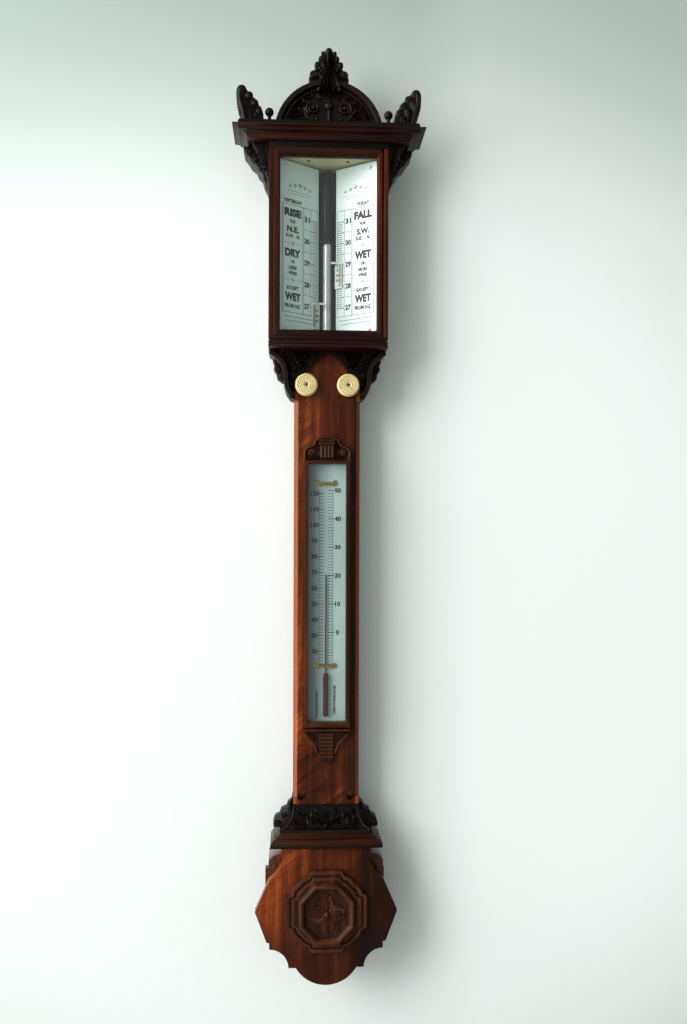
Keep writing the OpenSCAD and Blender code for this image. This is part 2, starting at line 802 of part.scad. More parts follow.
// places a piece in a plate's own frame: x along the plate from its inner front edge, -y out of its face
module on_plate() { translate([slot_half, -slot_front, 0]) rotate([0, 0, -plate_cant]) children(); }

plate_screw_x = 46;

module register_plate(side) {
    color(OPAL) hung() sided(side) on_plate() difference() {
        translate([0, 0, plate_bottom]) cube([plate_w, plate_t, plate_top - plate_bottom]);
        for (z = [plate_bottom + plate_screw_in, plate_top - plate_screw_in])
            translate([plate_screw_x, plate_t + e, z]) rotate([90, 0, 0])
                cylinder(h = plate_t + 2 * e, r = plate_screw_r);
    }
}

module left_plate() { register_plate(-1); }

module right_plate() { register_plate(1); }

// wedges behind each plate, against the backboard
module plate_blocks() {
    color(WOOD) hung() for (s = [-1, 1]) for (z = [head_floor_top,
        plate_top - 14]) sided(s) difference() {
        rise(z, z + 14) difference() {
            polygon([[rack_face + 6, -board_t], [side_inner, -board_t], [side_inner, -door_stop + 2],
                [rack_face + 6, -door_stop + 2]]);
            translate([slot_half, -slot_front]) rotate(-plate_cant) translate([-40,
                plate_t - 60]) square([140, 60]);
        }
        on_plate() for (h = [plate_bottom + plate_screw_in, plate_top - plate_screw_in])
            translate([plate_screw_x, plate_t + 9, h]) rotate([90, 0, 0])
                cylinder(h = 9 + e, r = plate_screw_r);
    }
}

module plate_screws() {
    heights = [plate_bottom + plate_screw_in, plate_top - plate_screw_in];
    color(BRASS) hung() for (s = [-1, 1]) sided(s) on_plate() for (z = heights)
        translate([plate_screw_x, 0, z]) rotate([90, 0, 0]) rotate_extrude()
            polygon(concat([[0, -9], [1.2, -plate_t - 5], [1.4, -plate_t - 4], [1.4, 0], [2.6, 0]],
                arc(0, -0.9, 2.75, 20, 90, 5)));
}

// tube and mercury

module barometer_tube() {
    color(GLASS, 0.35) hung() translate([0, -tube_y, 0]) rotate_extrude() difference() {
        polygon(concat([[0, tube_foot], [stem_r, tube_foot], [stem_r, tube_neck - neck_h]],
            [for (t = [0.25:0.25:1]) [stem_r + (tube_r - stem_r) * (1 - cos(180 * t)) / 2,
                tube_neck - neck_h + neck_h * t]],
            arc(0, tube_top - tube_r, tube_r, 0, 90, 10)));
        polygon(bore_points(tube_foot - 1, tube_top - 2.5));
    }
}

// the inside of the tube between two heights, with a rounded upper end
function bore_points(from, to) =
    concat([[0, from], [stem_bore_r, from], [stem_bore_r, tube_neck - neck_h]],
        [for (t = [0.25:0.25:1]) [stem_bore_r + (bore_r - stem_bore_r) * (1 - cos(180 * t)) / 2,
            tube_neck - neck_h + neck_h * t]],
        [[bore_r, to - 3], [bore_r * 0.8, to - 1], [0, to]]);

module mercury() {
    color(QUICKSILVER) hung() translate([0, -tube_y, 0]) {
        rotate_extrude() polygon(bore_points(tube_foot, mercury_top));
        rotate_extrude() polygon([[0, cistern_z + cistern_wall],
            [cistern_r - cistern_wall, cistern_z + cistern_wall],
            [cistern_r - cistern_wall, cistern_level], [stem_r, cistern_level], [stem_r, tube_foot],
            [0, tube_foot]]);
    }
}

// cork saddles between the backboard and the tube
module tube_saddles() {
    color(BOXWOOD) hung() for (p = [[tube_top - 22, tube_r, 9], [plate_bottom + 6, tube_r, 9],
        [bay_bottom - 30, stem_r, 6.5],
        [skirt_top + 40, stem_r, 6.5]])
        rise(p[0], p[0] + 10) difference() {
            plan(-p[2], p[2], tube_y - 1, board_t);
            translate([0, -tube_y]) circle(r = p[1]);
        }
}

// verniers

// one pinion on its spindle, with a tooth gap facing the rack at rest
function tooth(k) = let (
    pa = 20,
    base_r = pitch_r * cos(pa),
    tip_r = pitch_r + 0.85 * tooth_module,
    root_r = pitch_r - 1.2 * tooth_module,
    half = 90 / pinion_teeth - 0.055 * 180 / (PI * pitch_r),
    inv_pa = tan(pa) * 180 / PI - pa,
    radii = [for (i = [0:4]) base_r + (tip_r - base_r) * i / 4],
    flank = [for (r = radii) let (ap = acos(min(1, base_r / r)), inv = tan(ap) * 180 / PI - ap) [r,
        half + inv_pa - inv]],
    centre = (k + 0.5) * 360 / pinion_teeth)
    concat([root_r * [cos(centre - flank[0][1]), sin(centre - flank[0][1])]],
        [for (f = flank) f[0] * [cos(centre - f[1]), sin(centre - f[1])]],
        [for (i = [4:-1:0]) flank[i][0] * [cos(centre + flank[i][1]), sin(centre + flank[i][1])]],
        [root_r * [cos(centre + flank[0][1]), sin(centre + flank[0][1])]]);

module pinion(side) {
    x = side * knob_x;
    color(BRASS) hung() {
        translate([x, -works_y + pinion_depth / 2, knob_z]) rotate([90, 0,
            0]) linear_extrude(pinion_depth)
            polygon([for (k = [0:pinion_teeth - 1]) for (p = tooth(k)) p]);
        turned_y(x, knob_z, [[0, board_t - 5.5], [pivot_end_r, board_t - 5.5], [pivot_end_r, board_t + 1],
            [spindle_r, board_t + 1], [spindle_r, trunk_front + 7], [0, trunk_front + 7]]);
    }
}

module left_pinion() { pinion(-1); }

module right_pinion() { pinion(1); }

// one toothed rack rod, its back at rack_back and its teeth towards the knob
module rack(side, reading) {
    top = scale_z(reading) - 6;
    bottom = knob_z - (scale_high - reading) * inch - overrun - rack_end;
    toothed_top = knob_z + (reading - scale_low) * inch + overrun + rack_end;
    first = ceil((bottom - knob_z) / tooth_pitch + 0.5);
    last = floor((toothed_top - knob_z) / tooth_pitch);
    slope = tan(20);
    half = tooth_pitch / 4 - 0.05;
    color(BRASS) hung() sided(side) slab(works_y + rack_depth / 2,
        works_y - rack_depth / 2) polygon(concat(
        [[rack_back, bottom], [rack_face - tooth_root, bottom]],
        [for (k = [first:last]) for (p = [[-tooth_root, -half - tooth_root * slope],
            [tooth_tip, -half + tooth_tip * slope],
            [tooth_tip, half - tooth_tip * slope], [-tooth_root, half + tooth_root * slope]])
            [rack_face + p[0], knob_z + k * tooth_pitch + p[1]]],
        [[rack_face - tooth_root, top], [rack_back, top]]));
}

module left_rack() { rack(-1, left_reading); }

module right_rack() { rack(1, right_reading); }

// one vernier: a canted scale with a pointer across the tube and an arm back to the rack
module vernier(side, reading) {
    z = scale_z(reading);
    color(IVORY) hung() sided(side) {
        difference() {
            on_plate() translate([-0.8, -near_gap - vernier_t, z - vernier_h]) cube([vernier_w + 0.8,
                vernier_t, vernier_h]);
            rise(z - vernier_h - 1, z + 1) plan(-20, arm_x, 60, 0);
        }
        // arm round the inner edge of the plate
        rise(z - 12, z - 3) plan(arm_x, arm_x + arm_t, slot_front + 1.6, works_y - rack_depth / 2);
        rise(z - 6, z - 3) plan(arm_x, rack_face - tooth_root, works_y + rack_depth / 2,
            works_y - rack_depth / 2);
        // pointer round the front of the tube
        rise(z - 2.4, z) {
            plan(arm_x, arm_x + arm_t, arm_front + arm_t, slot_front);
            plan(bore_r - 1, arm_x + arm_t, arm_front + arm_t, arm_front);
        }
    }
}

module left_vernier() { vernier(-1, left_reading); }

module right_vernier() { vernier(1, right_reading); }

module rack_guides() {
    back = rack_back - slide_gap;
    front = rack_face + tooth_tip + slide_gap;
    deep = rack_depth / 2 + slide_gap;
    color(BRASS) hung() for (s = [-1, 1]) sided(s) for (z = [knob_z + 12, head_floor_top + 1]) rise(z,
        z + 5) difference() {
        plan(back - 1.6, front + 1.6, works_y + deep + 1.4, board_t);
        plan(back, front, works_y + deep, works_y - deep);
    }
}

module knob(side) {
    face = trunk_front + 1 + knob_t;
    color(IVORY) hung() turned_y(side * knob_x, knob_z, concat(
        [[spindle_r, face - knob_t], [knob_r - 3, face - knob_t], [knob_r - 0.6, face - knob_t + 1.4],
            [knob_r, face - 4.4],
            [knob_r - 0.8, face - 2.6]],
        [for (r = [knob_r - 1.4:-2.3:4]) for (p = [[r, face - 1.9], [r - 0.7, face - 1],
            [r - 1.6, face - 1], [r - 1.9, face - 1.9]]) p],
        [[spindle_r, face - 2.2]]));
}

module left_knob() { knob(-1); }

module right_knob() { knob(1); }

module spindle_bushes() {
    color(BRASS) hung() for (s = [-1, 1]) turned_y(s * knob_x, knob_z,
        [[spindle_r + run_gap, bay_front - 1],
        [2 * spindle_r, bay_front - 1], [2 * spindle_r, trunk_front], [2 * spindle_r + 1.2, trunk_front],
        [2 * spindle_r + 1.2, trunk_front + 0.6], [spindle_r + run_gap, trunk_front + 0.6]]);
}

// thermometer

module thermo_outline(inset) {
    panel(-thermo_half + inset, thermo_half - inset, thermo_bottom + inset * 1.2,
        thermo_top - inset * 0.6);
}

module thermometer_frame() {
    color(WOOD) hung() difference() {
        union() {
            slab(thermo_front - thermo_step, trunk_front) thermo_outline(0);
            slab(thermo_front, thermo_front - thermo_step) thermo_outline(1.6);
        }
        slab(thermo_front + e, trunk_front - e) thermo_outline(thermo_rim);
        slab(thermo_front + e, thermo_front - thermo_step) thermo_outline(thermo_rim - 2);
        slab(thermo_pane, trunk_front - e) thermo_outline(thermo_rebate);
    }
}

module thermometer_glass() {
    color(GLASS, 0.3) hung() slab(thermo_pane, thermo_pane - thermo_pane_t) thermo_outline(thermo_rebate);
}

module thermometer_plate() {
    color(OPAL) hung() slab(plate_face, trunk_front) thermo_outline(thermo_rebate + near_gap);
}

module thermometer_tube() {
    color(GLASS, 0.4) hung() translate([thermo_x, -stem_y, 0]) rotate_extrude() difference() {
        polygon([[0, bulb_top + 2], [thermo_stem_r, bulb_top + 2], [thermo_stem_r, thermo_top - 16],
            [0, thermo_top - 13]]);
        polygon([[0, bulb_top + 1], [thread_r, bulb_top + 1], [thread_r, thermo_top - 20],
            [0, thermo_top - 20]]);
    }
}

module thermometer_spirit() {
    color("#7a1016") hung() translate([thermo_x, -stem_y, 0]) {
        rotate_extrude() polygon([[0, bulb_top + 2], [thread_r, bulb_top + 2], [thread_r, spirit_top],
            [0, spirit_top]]);
        // the bulb stands in a shallow hollow of the plate's face
        translate([0, thermo_stem_r - thermo_bulb_r - 0.05, 0]) rotate_extrude() polygon(concat(
            arc(0, bulb_bottom + thermo_bulb_r, thermo_bulb_r, -90, 0, 5),
            arc(0, bulb_top - thermo_bulb_r, thermo_bulb_r, 0, 60, 4),
                [[0.7, bulb_top + 2], [0, bulb_top + 2]]));
    }
}

// brass clips across the stem, held by two small pins each
module thermometer_clips() {
    color(BRASS) hung() for (z = [bulb_top + 8, thermo_top - 26]) difference() {
        union() {
            slab(plate_face + 1, plate_face) {
                translate([thermo_x, z]) square([22, 4], center = true);
                for (s = [-1, 1]) translate([thermo_x + s * 10, z]) circle(r = 3.2);
            }
            slab(stem_y + thermo_stem_r + 1, plate_face) translate([thermo_x,
                z]) square([2 * thermo_stem_r + 2, 3], center = true);
        }
        translate([thermo_x, -stem_y, z - 5]) cylinder(h = 10, r = thermo_stem_r + run_gap);
        slab(stem_y, plate_face - e) translate([thermo_x, z]) square([2 * (thermo_stem_r + run_gap), 10],
            center = true);
    }
}

// the crest's arched outline, drawn in by one distance
module crest_outline(inset) {
    intersection() {
        translate([0, thermo_top - 1.5]) circle(r = crest_h + 1.5 - inset);
        panel(inset - thermo_half, thermo_half - inset, thermo_top, thermo_top + crest_h);
    }
}

module thermometer_crest() {
    z = thermo_top;
    flute_pitch = 4.6;
    color(CARVED) hung() {
        slab(trunk_front + 5, trunk_front) crest_outline(0);
        // hood over the carving
        slab(trunk_front + 9, trunk_front + 5) difference() {
            crest_outline(0);
            crest_outline(3.4);
        }
        // reeded keystone with its cap
        for (x = [-1.5:1.5]) rise(z + 6, z + crest_h - 11)
            translate([x * flute_pitch, -trunk_front - 7]) circle(r = 2.4);
        slab(trunk_front + 7.4, trunk_front + 5) panel(-10, 10, z + 5, z + crest_h - 9);
        slab(trunk_front + 10, trunk_front + 5) panel(-10.4, 10.4, z + crest_h - 11, z + crest_h - 6.4);
        slab(trunk_front + 8, trunk_front + 5) for (s = [-1, 1])
            translate([s * 11, z + 7]) rotate(-s * 56) polygon(leaf(14, 9));
    }
}

module thermometer_corbel() {
    z = thermo_bottom;
    color(CARVED) hung() {
        intersection() {
            slab(trunk_front + 10, trunk_front) difference() {
                polygon(both([[thermo_half + 1, z], [thermo_half + 1, z - 4], [thermo_half - 2, z - 6],
                    [thermo_half - 8, z - 30],
                    [11, z - corbel_h + 8], [9, z - corbel_h], [0, z - corbel_h]]));
                for (s = [-1, 1]) translate([s * (thermo_half + 6), z - 32]) circle(r = 22);
            }
            // tapers towards its foot
            translate([-40, 0, 0]) rotate([90, 0, 90]) linear_extrude(80) polygon([[-trunk_front, z],
                [-trunk_front - 10, z],
                [-trunk_front - 10, z - 5], [-trunk_front - 4, z - corbel_h],
                    [-trunk_front, z - corbel_h]]);
        }
        slab(trunk_front + 12, trunk_front + 9) difference() {
            panel(-8.5, 8.5, z - 20, z - 7);
            for (x = [-1:1]) panel(x * 5 - 1, x * 5 + 1, z - 21, z - 9);
        }
    }
}

// skirt and base

// half width (or front distance) gained by the skirt towards its foot
function skirt_edge() = concat([[0, skirt_bottom], [0, skirt_bottom + 2]],
    [for (t = [0:0.125:1]) [-14.6 * sin(90 * t), skirt_bottom + 2 + (skirt_h - 2) * (1 - cos(90 * t))]]);

module skirt() {
    color(CARVED) hung() {
        difference() {
            moulded(skirt_half, skirt_front, board_t, skirt_edge());
            rise(skirt_bottom - e, skirt_top + e) plan(-trunk_w / 2, trunk_w / 2, trunk_front,
                board_t - e);
        }
        // scalloped returns at the sides, which start above the front's carving
        for (s = [-1, 1]) sided(s) slab(trunk_front - 4, board_t) difference() {
            translate([trunk_w / 2, skirt_bottom]) {
                polygon([[-1, 0], [22, 0], [20, 6], [12, 15], [5, 25], [0, skirt_h + 8], [-1, skirt_h + 8]]);
                for (p = [[18, 6.5, 5], [11.5, 15, 5.4], [4.5, 24, 5.2]])
                    translate([p[0], p[1]]) circle(r = p[2]);
            }
            panel(0, trunk_w / 2, skirt_bottom - e, skirt_top + 20);
        }
    }
}

// bands of the base moulding, from its lower edge up
function base_edge() = concat([[-3, base_top], [0, base_top + 1.5], [0, base_top + 5.5],
    [-1.4, base_top + 6.2]],
    arc(-1.4 - 4, base_top + 6.2, 4, 0, 90, 4), [[-7, base_top + 10.6], [-7, base_top + 12.4],
        [-10.6, base_top + base_mould_h - 1.6],
    [-10.6, base_top + base_mould_h]]);

module base_mould() {
    color(WOOD) hung() difference() {
        moulded(skirt_half + 11, skirt_front + 12, board_t, base_edge());
        rise(base_top - e, skirt_bottom + e) plan(-trunk_w / 2, trunk_w / 2, trunk_front, board_t - e);
    }
}

module base_front() { color(WOOD) hung() slab(base_front_d, box_front) base_outline(); }

module base_box() {
    color(WOOD) hung() difference() {
        slab(box_front, board_t) polygon(both(box_points));
        slab(box_front + e, board_t - e) polygon(both([[48 - base_wall, base_top - base_wall],
            [50 - base_wall, base_top - base_wall - 8], [box_half - base_wall, base_top - base_wall - 18],
            [box_half - base_wall, 62], [58 - base_wall, 56], [44 - base_wall, 22 + base_wall]]));
        // way for the tube
        rise(base_top - base_wall - e, base_top + e) plan(-groove_w / 2, groove_w / 2,
            tube_y + groove_w / 2, board_t - e);
        translate([0, -tube_y, 19]) cylinder(h = base_wall + 3, r = screw_r + run_gap);
    }
}

module boss() {
    color(CARVED) hung() translate([0, 0, boss_z]) {
        slab(boss_front, base_front_d) boss_outline(boss_half);
        slab(boss_front + 2, boss_front) boss_outline(boss_half - 4);
        slab(boss_field, boss_front + 2) scale([1, 1.08]) octagon(boss_half * 0.76);
        slab(boss_rim, boss_field) scale([1, 1.08]) difference() {
            octagon(boss_half * 0.66);
            octagon(boss_half * 0.55);
        }
    }
}

module rosette() {
    color(CARVED) hung() translate([0, 0, boss_z]) {
        slab(boss_field + 2.6, boss_field) for (a = [0:90:270]) rotate(a) translate([0, 3])
            polygon(leaf(18, 10));
        slab(boss_field + 1.6, boss_field) for (a = [45:90:315]) rotate(a) translate([0, 4])
            polygon(leaf(15, 7));
        rod_y(0, 0, 4.4, boss_field + 4, boss_field);
    }
}

// cistern

module cistern() {
    inner = cistern_r - cistern_wall;
    color(BOXWOOD) hung() {
        translate([0, -tube_y, 0]) rotate_extrude() polygon([[0, cistern_z], [cistern_r, cistern_z],
            [cistern_r, cistern_top - 6], [cistern_r - 3, cistern_top], [stem_r + near_gap, cistern_top],
            [stem_r + near_gap, cistern_top - 8], [inner, cistern_top - 8],
                [inner, cistern_z + cistern_wall], [0, cistern_z + cistern_wall]]);
    }
}

module leather_bag() {
    color("#8a6a44") hung() translate([0, -tube_y, cistern_z - bag_h]) rotate_extrude() polygon(
        concat([[0, 0], [8, 0]], arc(8, 6, 6, -90, 0, 5), [[14, bag_h], [0, bag_h]]));
}

module portable_pad() {
    color(BOXWOOD) hung() translate([0, -tube_y, pad_top - pad_t]) cylinder(h = pad_t, r = pad_r);
}

module portable_screw() {
    color(BRASS) hung() translate([0, -tube_y, 0]) {
        translate([0, 0, 24]) cylinder(h = pad_top - pad_t - 24, r = screw_r);
        translate([-1.8, -1.8, 20]) cube([3.6, 3.6, 4]);
    }
}

backboard();
hanger_plate();
hanger_screws();
trunk();
trunk_screws();
head_sides();
head_ceiling();
head_floor();
cornice();
blocking();
pediment();
volutes();
finial();
left_ear();
right_ear();
cornice_balls();
left_upper_bracket();
right_upper_bracket();
left_lower_bracket();
right_lower_bracket();
door_frame();
door_glass();
glazing_bead();
door_pins();
left_plate();
right_plate();
plate_blocks();
plate_screws();
barometer_tube();
mercury();
tube_saddles();
left_rack();
right_rack();
left_vernier();
right_vernier();
rack_guides();
left_pinion();
right_pinion();
left_knob();
right_knob();
spindle_bushes();
thermometer_frame();
thermometer_glass();
thermometer_plate();
thermometer_tube();
thermometer_spirit();
thermometer_clips();
thermometer_crest();
thermometer_corbel();
skirt();
base_mould();
base_front();
base_box();
boss();
rosette();
cistern();
leather_bag();
portable_pad();
portable_screw();
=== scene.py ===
import math

import bmesh
import bpy
from mathutils import Matrix, Vector


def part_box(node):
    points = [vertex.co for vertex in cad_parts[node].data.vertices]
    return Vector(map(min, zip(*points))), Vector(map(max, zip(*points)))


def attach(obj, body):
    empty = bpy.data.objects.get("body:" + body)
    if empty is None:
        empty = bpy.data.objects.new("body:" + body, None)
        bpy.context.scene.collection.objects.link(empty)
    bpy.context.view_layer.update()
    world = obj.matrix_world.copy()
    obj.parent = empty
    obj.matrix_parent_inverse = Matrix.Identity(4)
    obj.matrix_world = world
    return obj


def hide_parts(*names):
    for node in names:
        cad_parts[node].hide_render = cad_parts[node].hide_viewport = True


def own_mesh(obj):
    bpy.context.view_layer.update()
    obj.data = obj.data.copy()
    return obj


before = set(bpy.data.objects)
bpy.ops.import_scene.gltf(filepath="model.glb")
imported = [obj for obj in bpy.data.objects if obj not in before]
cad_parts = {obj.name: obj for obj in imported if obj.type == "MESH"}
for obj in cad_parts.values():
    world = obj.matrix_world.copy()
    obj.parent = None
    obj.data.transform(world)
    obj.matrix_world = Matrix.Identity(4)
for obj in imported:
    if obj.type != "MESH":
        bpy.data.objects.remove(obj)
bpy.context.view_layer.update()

# Everything is in metres. The front faces -Y, the wall is y = 0, and the origin is the hanger hole.
MM = 0.001


# Shader maths

class Wire:
    """A socket of a material's node tree that can stand in a Python expression on values."""

    def __init__(self, finish, socket):
        self.finish, self.socket = finish, socket

    def _maths(self, operation, *values):
        return self.finish.node("ShaderNodeMath", {"operation": operation}, dict(enumerate(values)))

    def __add__(self, other): return self._maths("ADD", self, other)
    def __sub__(self, other): return self._maths("SUBTRACT", self, other)
    def __rsub__(self, other): return self._maths("SUBTRACT", other, self)
    def __mul__(self, other): return self._maths("MULTIPLY", self, other)
    def __gt__(self, other): return self._maths("GREATER_THAN", self, other)
    def __abs__(self): return self._maths("ABSOLUTE", self)
    def highest(self, other): return self._maths("MAXIMUM", self, other)
    def lowest(self, other): return self._maths("MINIMUM", self, other)

    def spread(self, low, high):
        """0 at low, 1 at high, and smooth between them."""
        return self.finish.node("ShaderNodeMapRange", {"interpolation_type": "SMOOTHSTEP"},
                                {"Value": self, "From Min": low, "From Max": high})


def socket_of(sockets, key):
    """The socket with that index, identifier or name."""
    if isinstance(key, int):
        return sockets[key]
    for word in ("identifier", "name"):
        for socket in sockets:
            if getattr(socket, word) == key:
                return socket
    raise KeyError(key)


class Finish:
    """A material while it is being built. Its principled shader takes the sockets given to surface()."""

    def __init__(self, name, owner=None):
        self.material = owner or bpy.data.materials.new(name)
        self.material.use_nodes = True
        self.tree = self.material.node_tree
        self.tree.nodes.clear()

    def node(self, kind, settings=None, sockets=None, output=0):
        """One node: its settings are set first, then the values or links of its sockets."""
        node = self.tree.nodes.new(kind)
        for key, value in (settings or {}).items():
            if key == "stops":
                self._set_stops(node.color_ramp, value)
            else:
                setattr(node, key, value)
        for key, value in (sockets or {}).items():
            if value is None:
                continue
            target = socket_of(node.inputs, key)
            if isinstance(value, Wire):
                self.tree.links.new(value.socket, target)
            else:
                target.default_value = value
        return Wire(self, socket_of(node.outputs, output))

    def _set_stops(self, ramp, stops):
        while len(ramp.elements) > 1:
            ramp.elements.remove(ramp.elements[-1])
        for i, (place, colour) in enumerate(stops):
            element = ramp.elements[0] if i == 0 else ramp.elements.new(place)
            element.position = place
            element.color = colour

    def place(self, stretch=(1, 1, 1), turn=(0, 0, 0)):
        """Object coordinates in metres, turned about the axes and then stretched."""
        here = self.node("ShaderNodeTexCoord", output="Object")
        turned = self.node("ShaderNodeMapping", {"vector_type": "POINT"},
                           {"Vector": here, "Rotation": [math.radians(a) for a in turn]})
        return self.node("ShaderNodeVectorMath", {"operation": "MULTIPLY"}, {0: turned, 1: stretch})

    def noise(self, vector, scale=1.0, detail=3.0, roughness=0.5, distortion=0.0):
        return self.node("ShaderNodeTexNoise", None, {"Vector": vector, "Scale": scale, "Detail": detail,
                         "Roughness": roughness, "Distortion": distortion}, "Fac")

    def ramp(self, factor, *stops):
        return self.node("ShaderNodeValToRGB", {"stops": stops}, {"Fac": factor}, "Color")

    def mix(self, factor, a, b, mode="MIX"):
        return self.node("ShaderNodeMix", {"data_type": "RGBA", "blend_type": mode},
                         {"Factor_Float": factor, "A_Color": a, "B_Color": b}, "Result_Color")

    def attribute(self, name):
        return self.node("ShaderNodeAttribute", {"attribute_name": name}, None, "Fac")

    def bump(self, height, strength, distance):
        return self.node("ShaderNodeBump", None, {"Height": height, "Strength": strength, "Distance": distance},
                         "Normal")

    def axis(self, letter):
        """The place's distance along X or Z in metres."""
        return self.node("ShaderNodeSeparateXYZ", None, {0: self.place()}, letter)

    def surface(self, **sockets):
        """Sets the principled shader's sockets, with _ for a space in a name, and ends the material."""
        shader = self.node("ShaderNodeBsdfPrincipled", None, {k.replace("_", " "): v for k, v in sockets.items()})
        return self.out(shader)

    def out(self, shader, end="ShaderNodeOutputMaterial"):
        """Ends the material or the world."""
        end = self.tree.nodes.new(end)
        self.tree.links.new(shader.socket, end.inputs["Surface"])
        return self.material


def colour(code):
    """A screen colour such as "7a3218" as the linear colour that a shader takes."""
    parts = [int(code[i:i + 2], 16) / 255 for i in (0, 2, 4)]
    return (*[c / 12.92 if c <= 0.04045 else ((c + 0.055) / 1.055) ** 2.4 for c in parts], 1.0)


# Finishes

ALONG_X = (0, 90, 0)       # a turn that lays the grain along a rail


def grain(f, turn, band_scale, figure):
    """The tone of straight-grained wood, its fibres and its pores.

    Growth bands run along Z, and turn leads them elsewhere. A figure adds ripples across them in patches.
    """
    bend = f.noise(f.place((9, 9, 2.2), turn), 1.0, 2.0)
    bands = f.noise(f.place((75 * band_scale, 75 * band_scale, 4.0), turn), 1.0, 4.0, 0.55, 0.9)
    fibres = f.noise(f.place((900, 900, 26), turn), 1.0, 3.0, 0.6)
    pores = f.noise(f.place((1500, 1500, 70), turn), 1.0, 2.0, 0.5)
    tone = bands * 0.55 + bend * 0.35 + fibres * 0.22 - 0.06
    if figure:
        across = f.place((95, 95, 9), (turn[0], turn[1] - 52, turn[2]))
        patch = f.noise(f.place((13, 13, 11)), 1.0, 2.0).spread(0.42, 0.6)
        tone = tone + (f.noise(across, 1.0, 5.0, 0.6, 1.5) - 0.5) * patch * figure
        tone = tone + (f.noise(f.place((20, 20, 26)), 1.0, 2.0) - 0.5) * figure * 0.35
    return tone, fibres, pores


def wood(name, dark, middle, light, turn=(0, 0, 0), band_scale=1.0, figure=0.0, roughness=0.36, coat=0.04, carved=0.0,
         arris=None, shade_and_tone=(), mitre=None):
    """Polished wood, with arrises lighter from wear and painted highlight, darkening along an axis from its tone and
    painted shade, or rails mitred to its stiles.
    """
    f = Finish(name)
    x, z = f.axis("X"), f.axis("Z")
    tone, fibres, pores = grain(f, turn, band_scale, figure)
    if mitre:
        middle_z, half_x, half_z = mitre
        rail = abs(z - middle_z) - half_z > abs(x) - half_x
        cross = grain(f, ALONG_X, band_scale, figure)
        tone, fibres, pores = (a * (1 - rail) + b * rail for a, b in zip((tone, fibres, pores), cross))
        # rails painted a shade darker than the stiles: partly their cross grain, partly painted shade
        tone = tone - rail * 0.19
    base = f.ramp(tone, (0.32, colour(dark)), (0.52, colour(middle)), (0.72, colour(light)))
    base = f.mix((pores > 0.62) * 0.55, base, colour(dark))
    # painted shade with some of the wood's own tone: darker towards the given ends along X or Z
    for axis, start, end, share in shade_and_tone:
        base = f.mix((x if axis == "X" else z).spread(start, end) * share, base, colour(dark))
    # painted highlight with some wear: a lighter tint along the arrises, where the window lights the chamfers
    if arris:
        start, end, tint = arris
        band = abs(x).spread(start, start + 0.0012) * (1 - abs(x).spread(end, end + 0.0002))
        base = f.mix(band * (fibres * 0.4 + 0.6), base, colour(tint))
    height = fibres * 0.5 + pores * 0.5
    if carved:
        # painted shade with some grime: the carving's hollows darkened by their relief
        relief = f.attribute("relief")
        hollow = 1 - relief.spread(0.05, 0.75)
        base = f.mix(hollow * carved, base, colour("0e0503"))
        worn = relief.spread(0.82, 1.0) * f.noise(f.place((160, 160, 160)), 1.0, 2.0)
        base = f.mix(worn * 0.55, base, colour(light))
    shine = f.noise(f.place((30, 30, 12)), 1.0, 3.0)
    return f.surface(Base_Color=base, Roughness=shine * 0.16 + (roughness - 0.08), Coat_Weight=coat,
                     Coat_Roughness=0.22, Specular_IOR_Level=0.16, Normal=f.bump(height, 0.18, 0.0004))


def plain(name, code, roughness, metallic=0.0, second=None, scale=300, contrast=0.5, bump=0.0, across=None, **more):
    """A smooth finish with a mottled second colour, a little unevenness and perhaps a painted shadow at its left."""
    f = Finish(name)
    mottle = f.noise(f.place((scale, scale, scale)), 1.0, 3.0)
    base = f.mix(mottle.spread(0.5 - contrast / 2, 0.5 + contrast / 2), colour(code), colour(second or code))
    # painted shadow: a darker tone towards the left along X
    if across:
        start, end, tone = across
        base = f.mix(f.axis("X").spread(start, end), colour(tone), base)
    rough = f.noise(f.place((scale / 2, scale / 2, scale / 2)), 1.0, 2.0) * 0.12 + (roughness - 0.06)
    normal = f.bump(mottle, bump, 0.0003) if bump else None
    return f.surface(Base_Color=base, Roughness=rough, Metallic=metallic, Normal=normal, **more)


def clear_glass(name, tint, least, most):
    """Thin see-through glass with faint smears. Its outer face reflects more towards grazing angles."""
    f = Finish(name)
    smear = f.noise(f.place((18, 18, 7)), 1.0, 4.0)
    fresnel = f.node("ShaderNodeFresnel", None, {"IOR": 1.5})
    gloss = f.node("ShaderNodeBsdfPrincipled", None, {"Base Color": colour(tint), "Roughness": 0.03,
                   "Specular IOR Level": 0.5})
    through = f.node("ShaderNodeBsdfTransparent", None, {"Color": (1, 1, 1, 1)})
    inner = f.node("ShaderNodeNewGeometry", None, None, "Backfacing")
    share = (fresnel * most + smear * 0.012 + least).lowest(1.0) * (1 - inner)
    return f.out(f.node("ShaderNodeMixShader", None, {"Fac": share, 1: through, 2: gloss}))


HEAD_WOOD = wood("head_wood", "120502", "3e1607", "742c0f", figure=0.1)
# painted shade: the frieze under the cornice is nearly black
FRIEZE_SHADE_WOOD = wood("frieze_painted_shade", "020101", "070302", "110704", turn=ALONG_X)
RAIL_WOOD = wood("rail_wood", "0b0402", "220c05", "40190b", turn=ALONG_X)
CASE_WOOD = wood("case_wood", "180803", "48200c", "7c3e18", figure=0.12)
DOOR_WOOD = wood("door_wood", "120502", "431807", "80300f", figure=0.1, mitre=(-0.0911, 0.0592, 0.1034))
BOX_WOOD = wood("box_wood", "180803", "48200c", "7c3e18", figure=0.12, roughness=0.3, coat=0.5)
FRAME_WOOD = wood("frame_wood", "170904", "4a210f", "7c3f20")
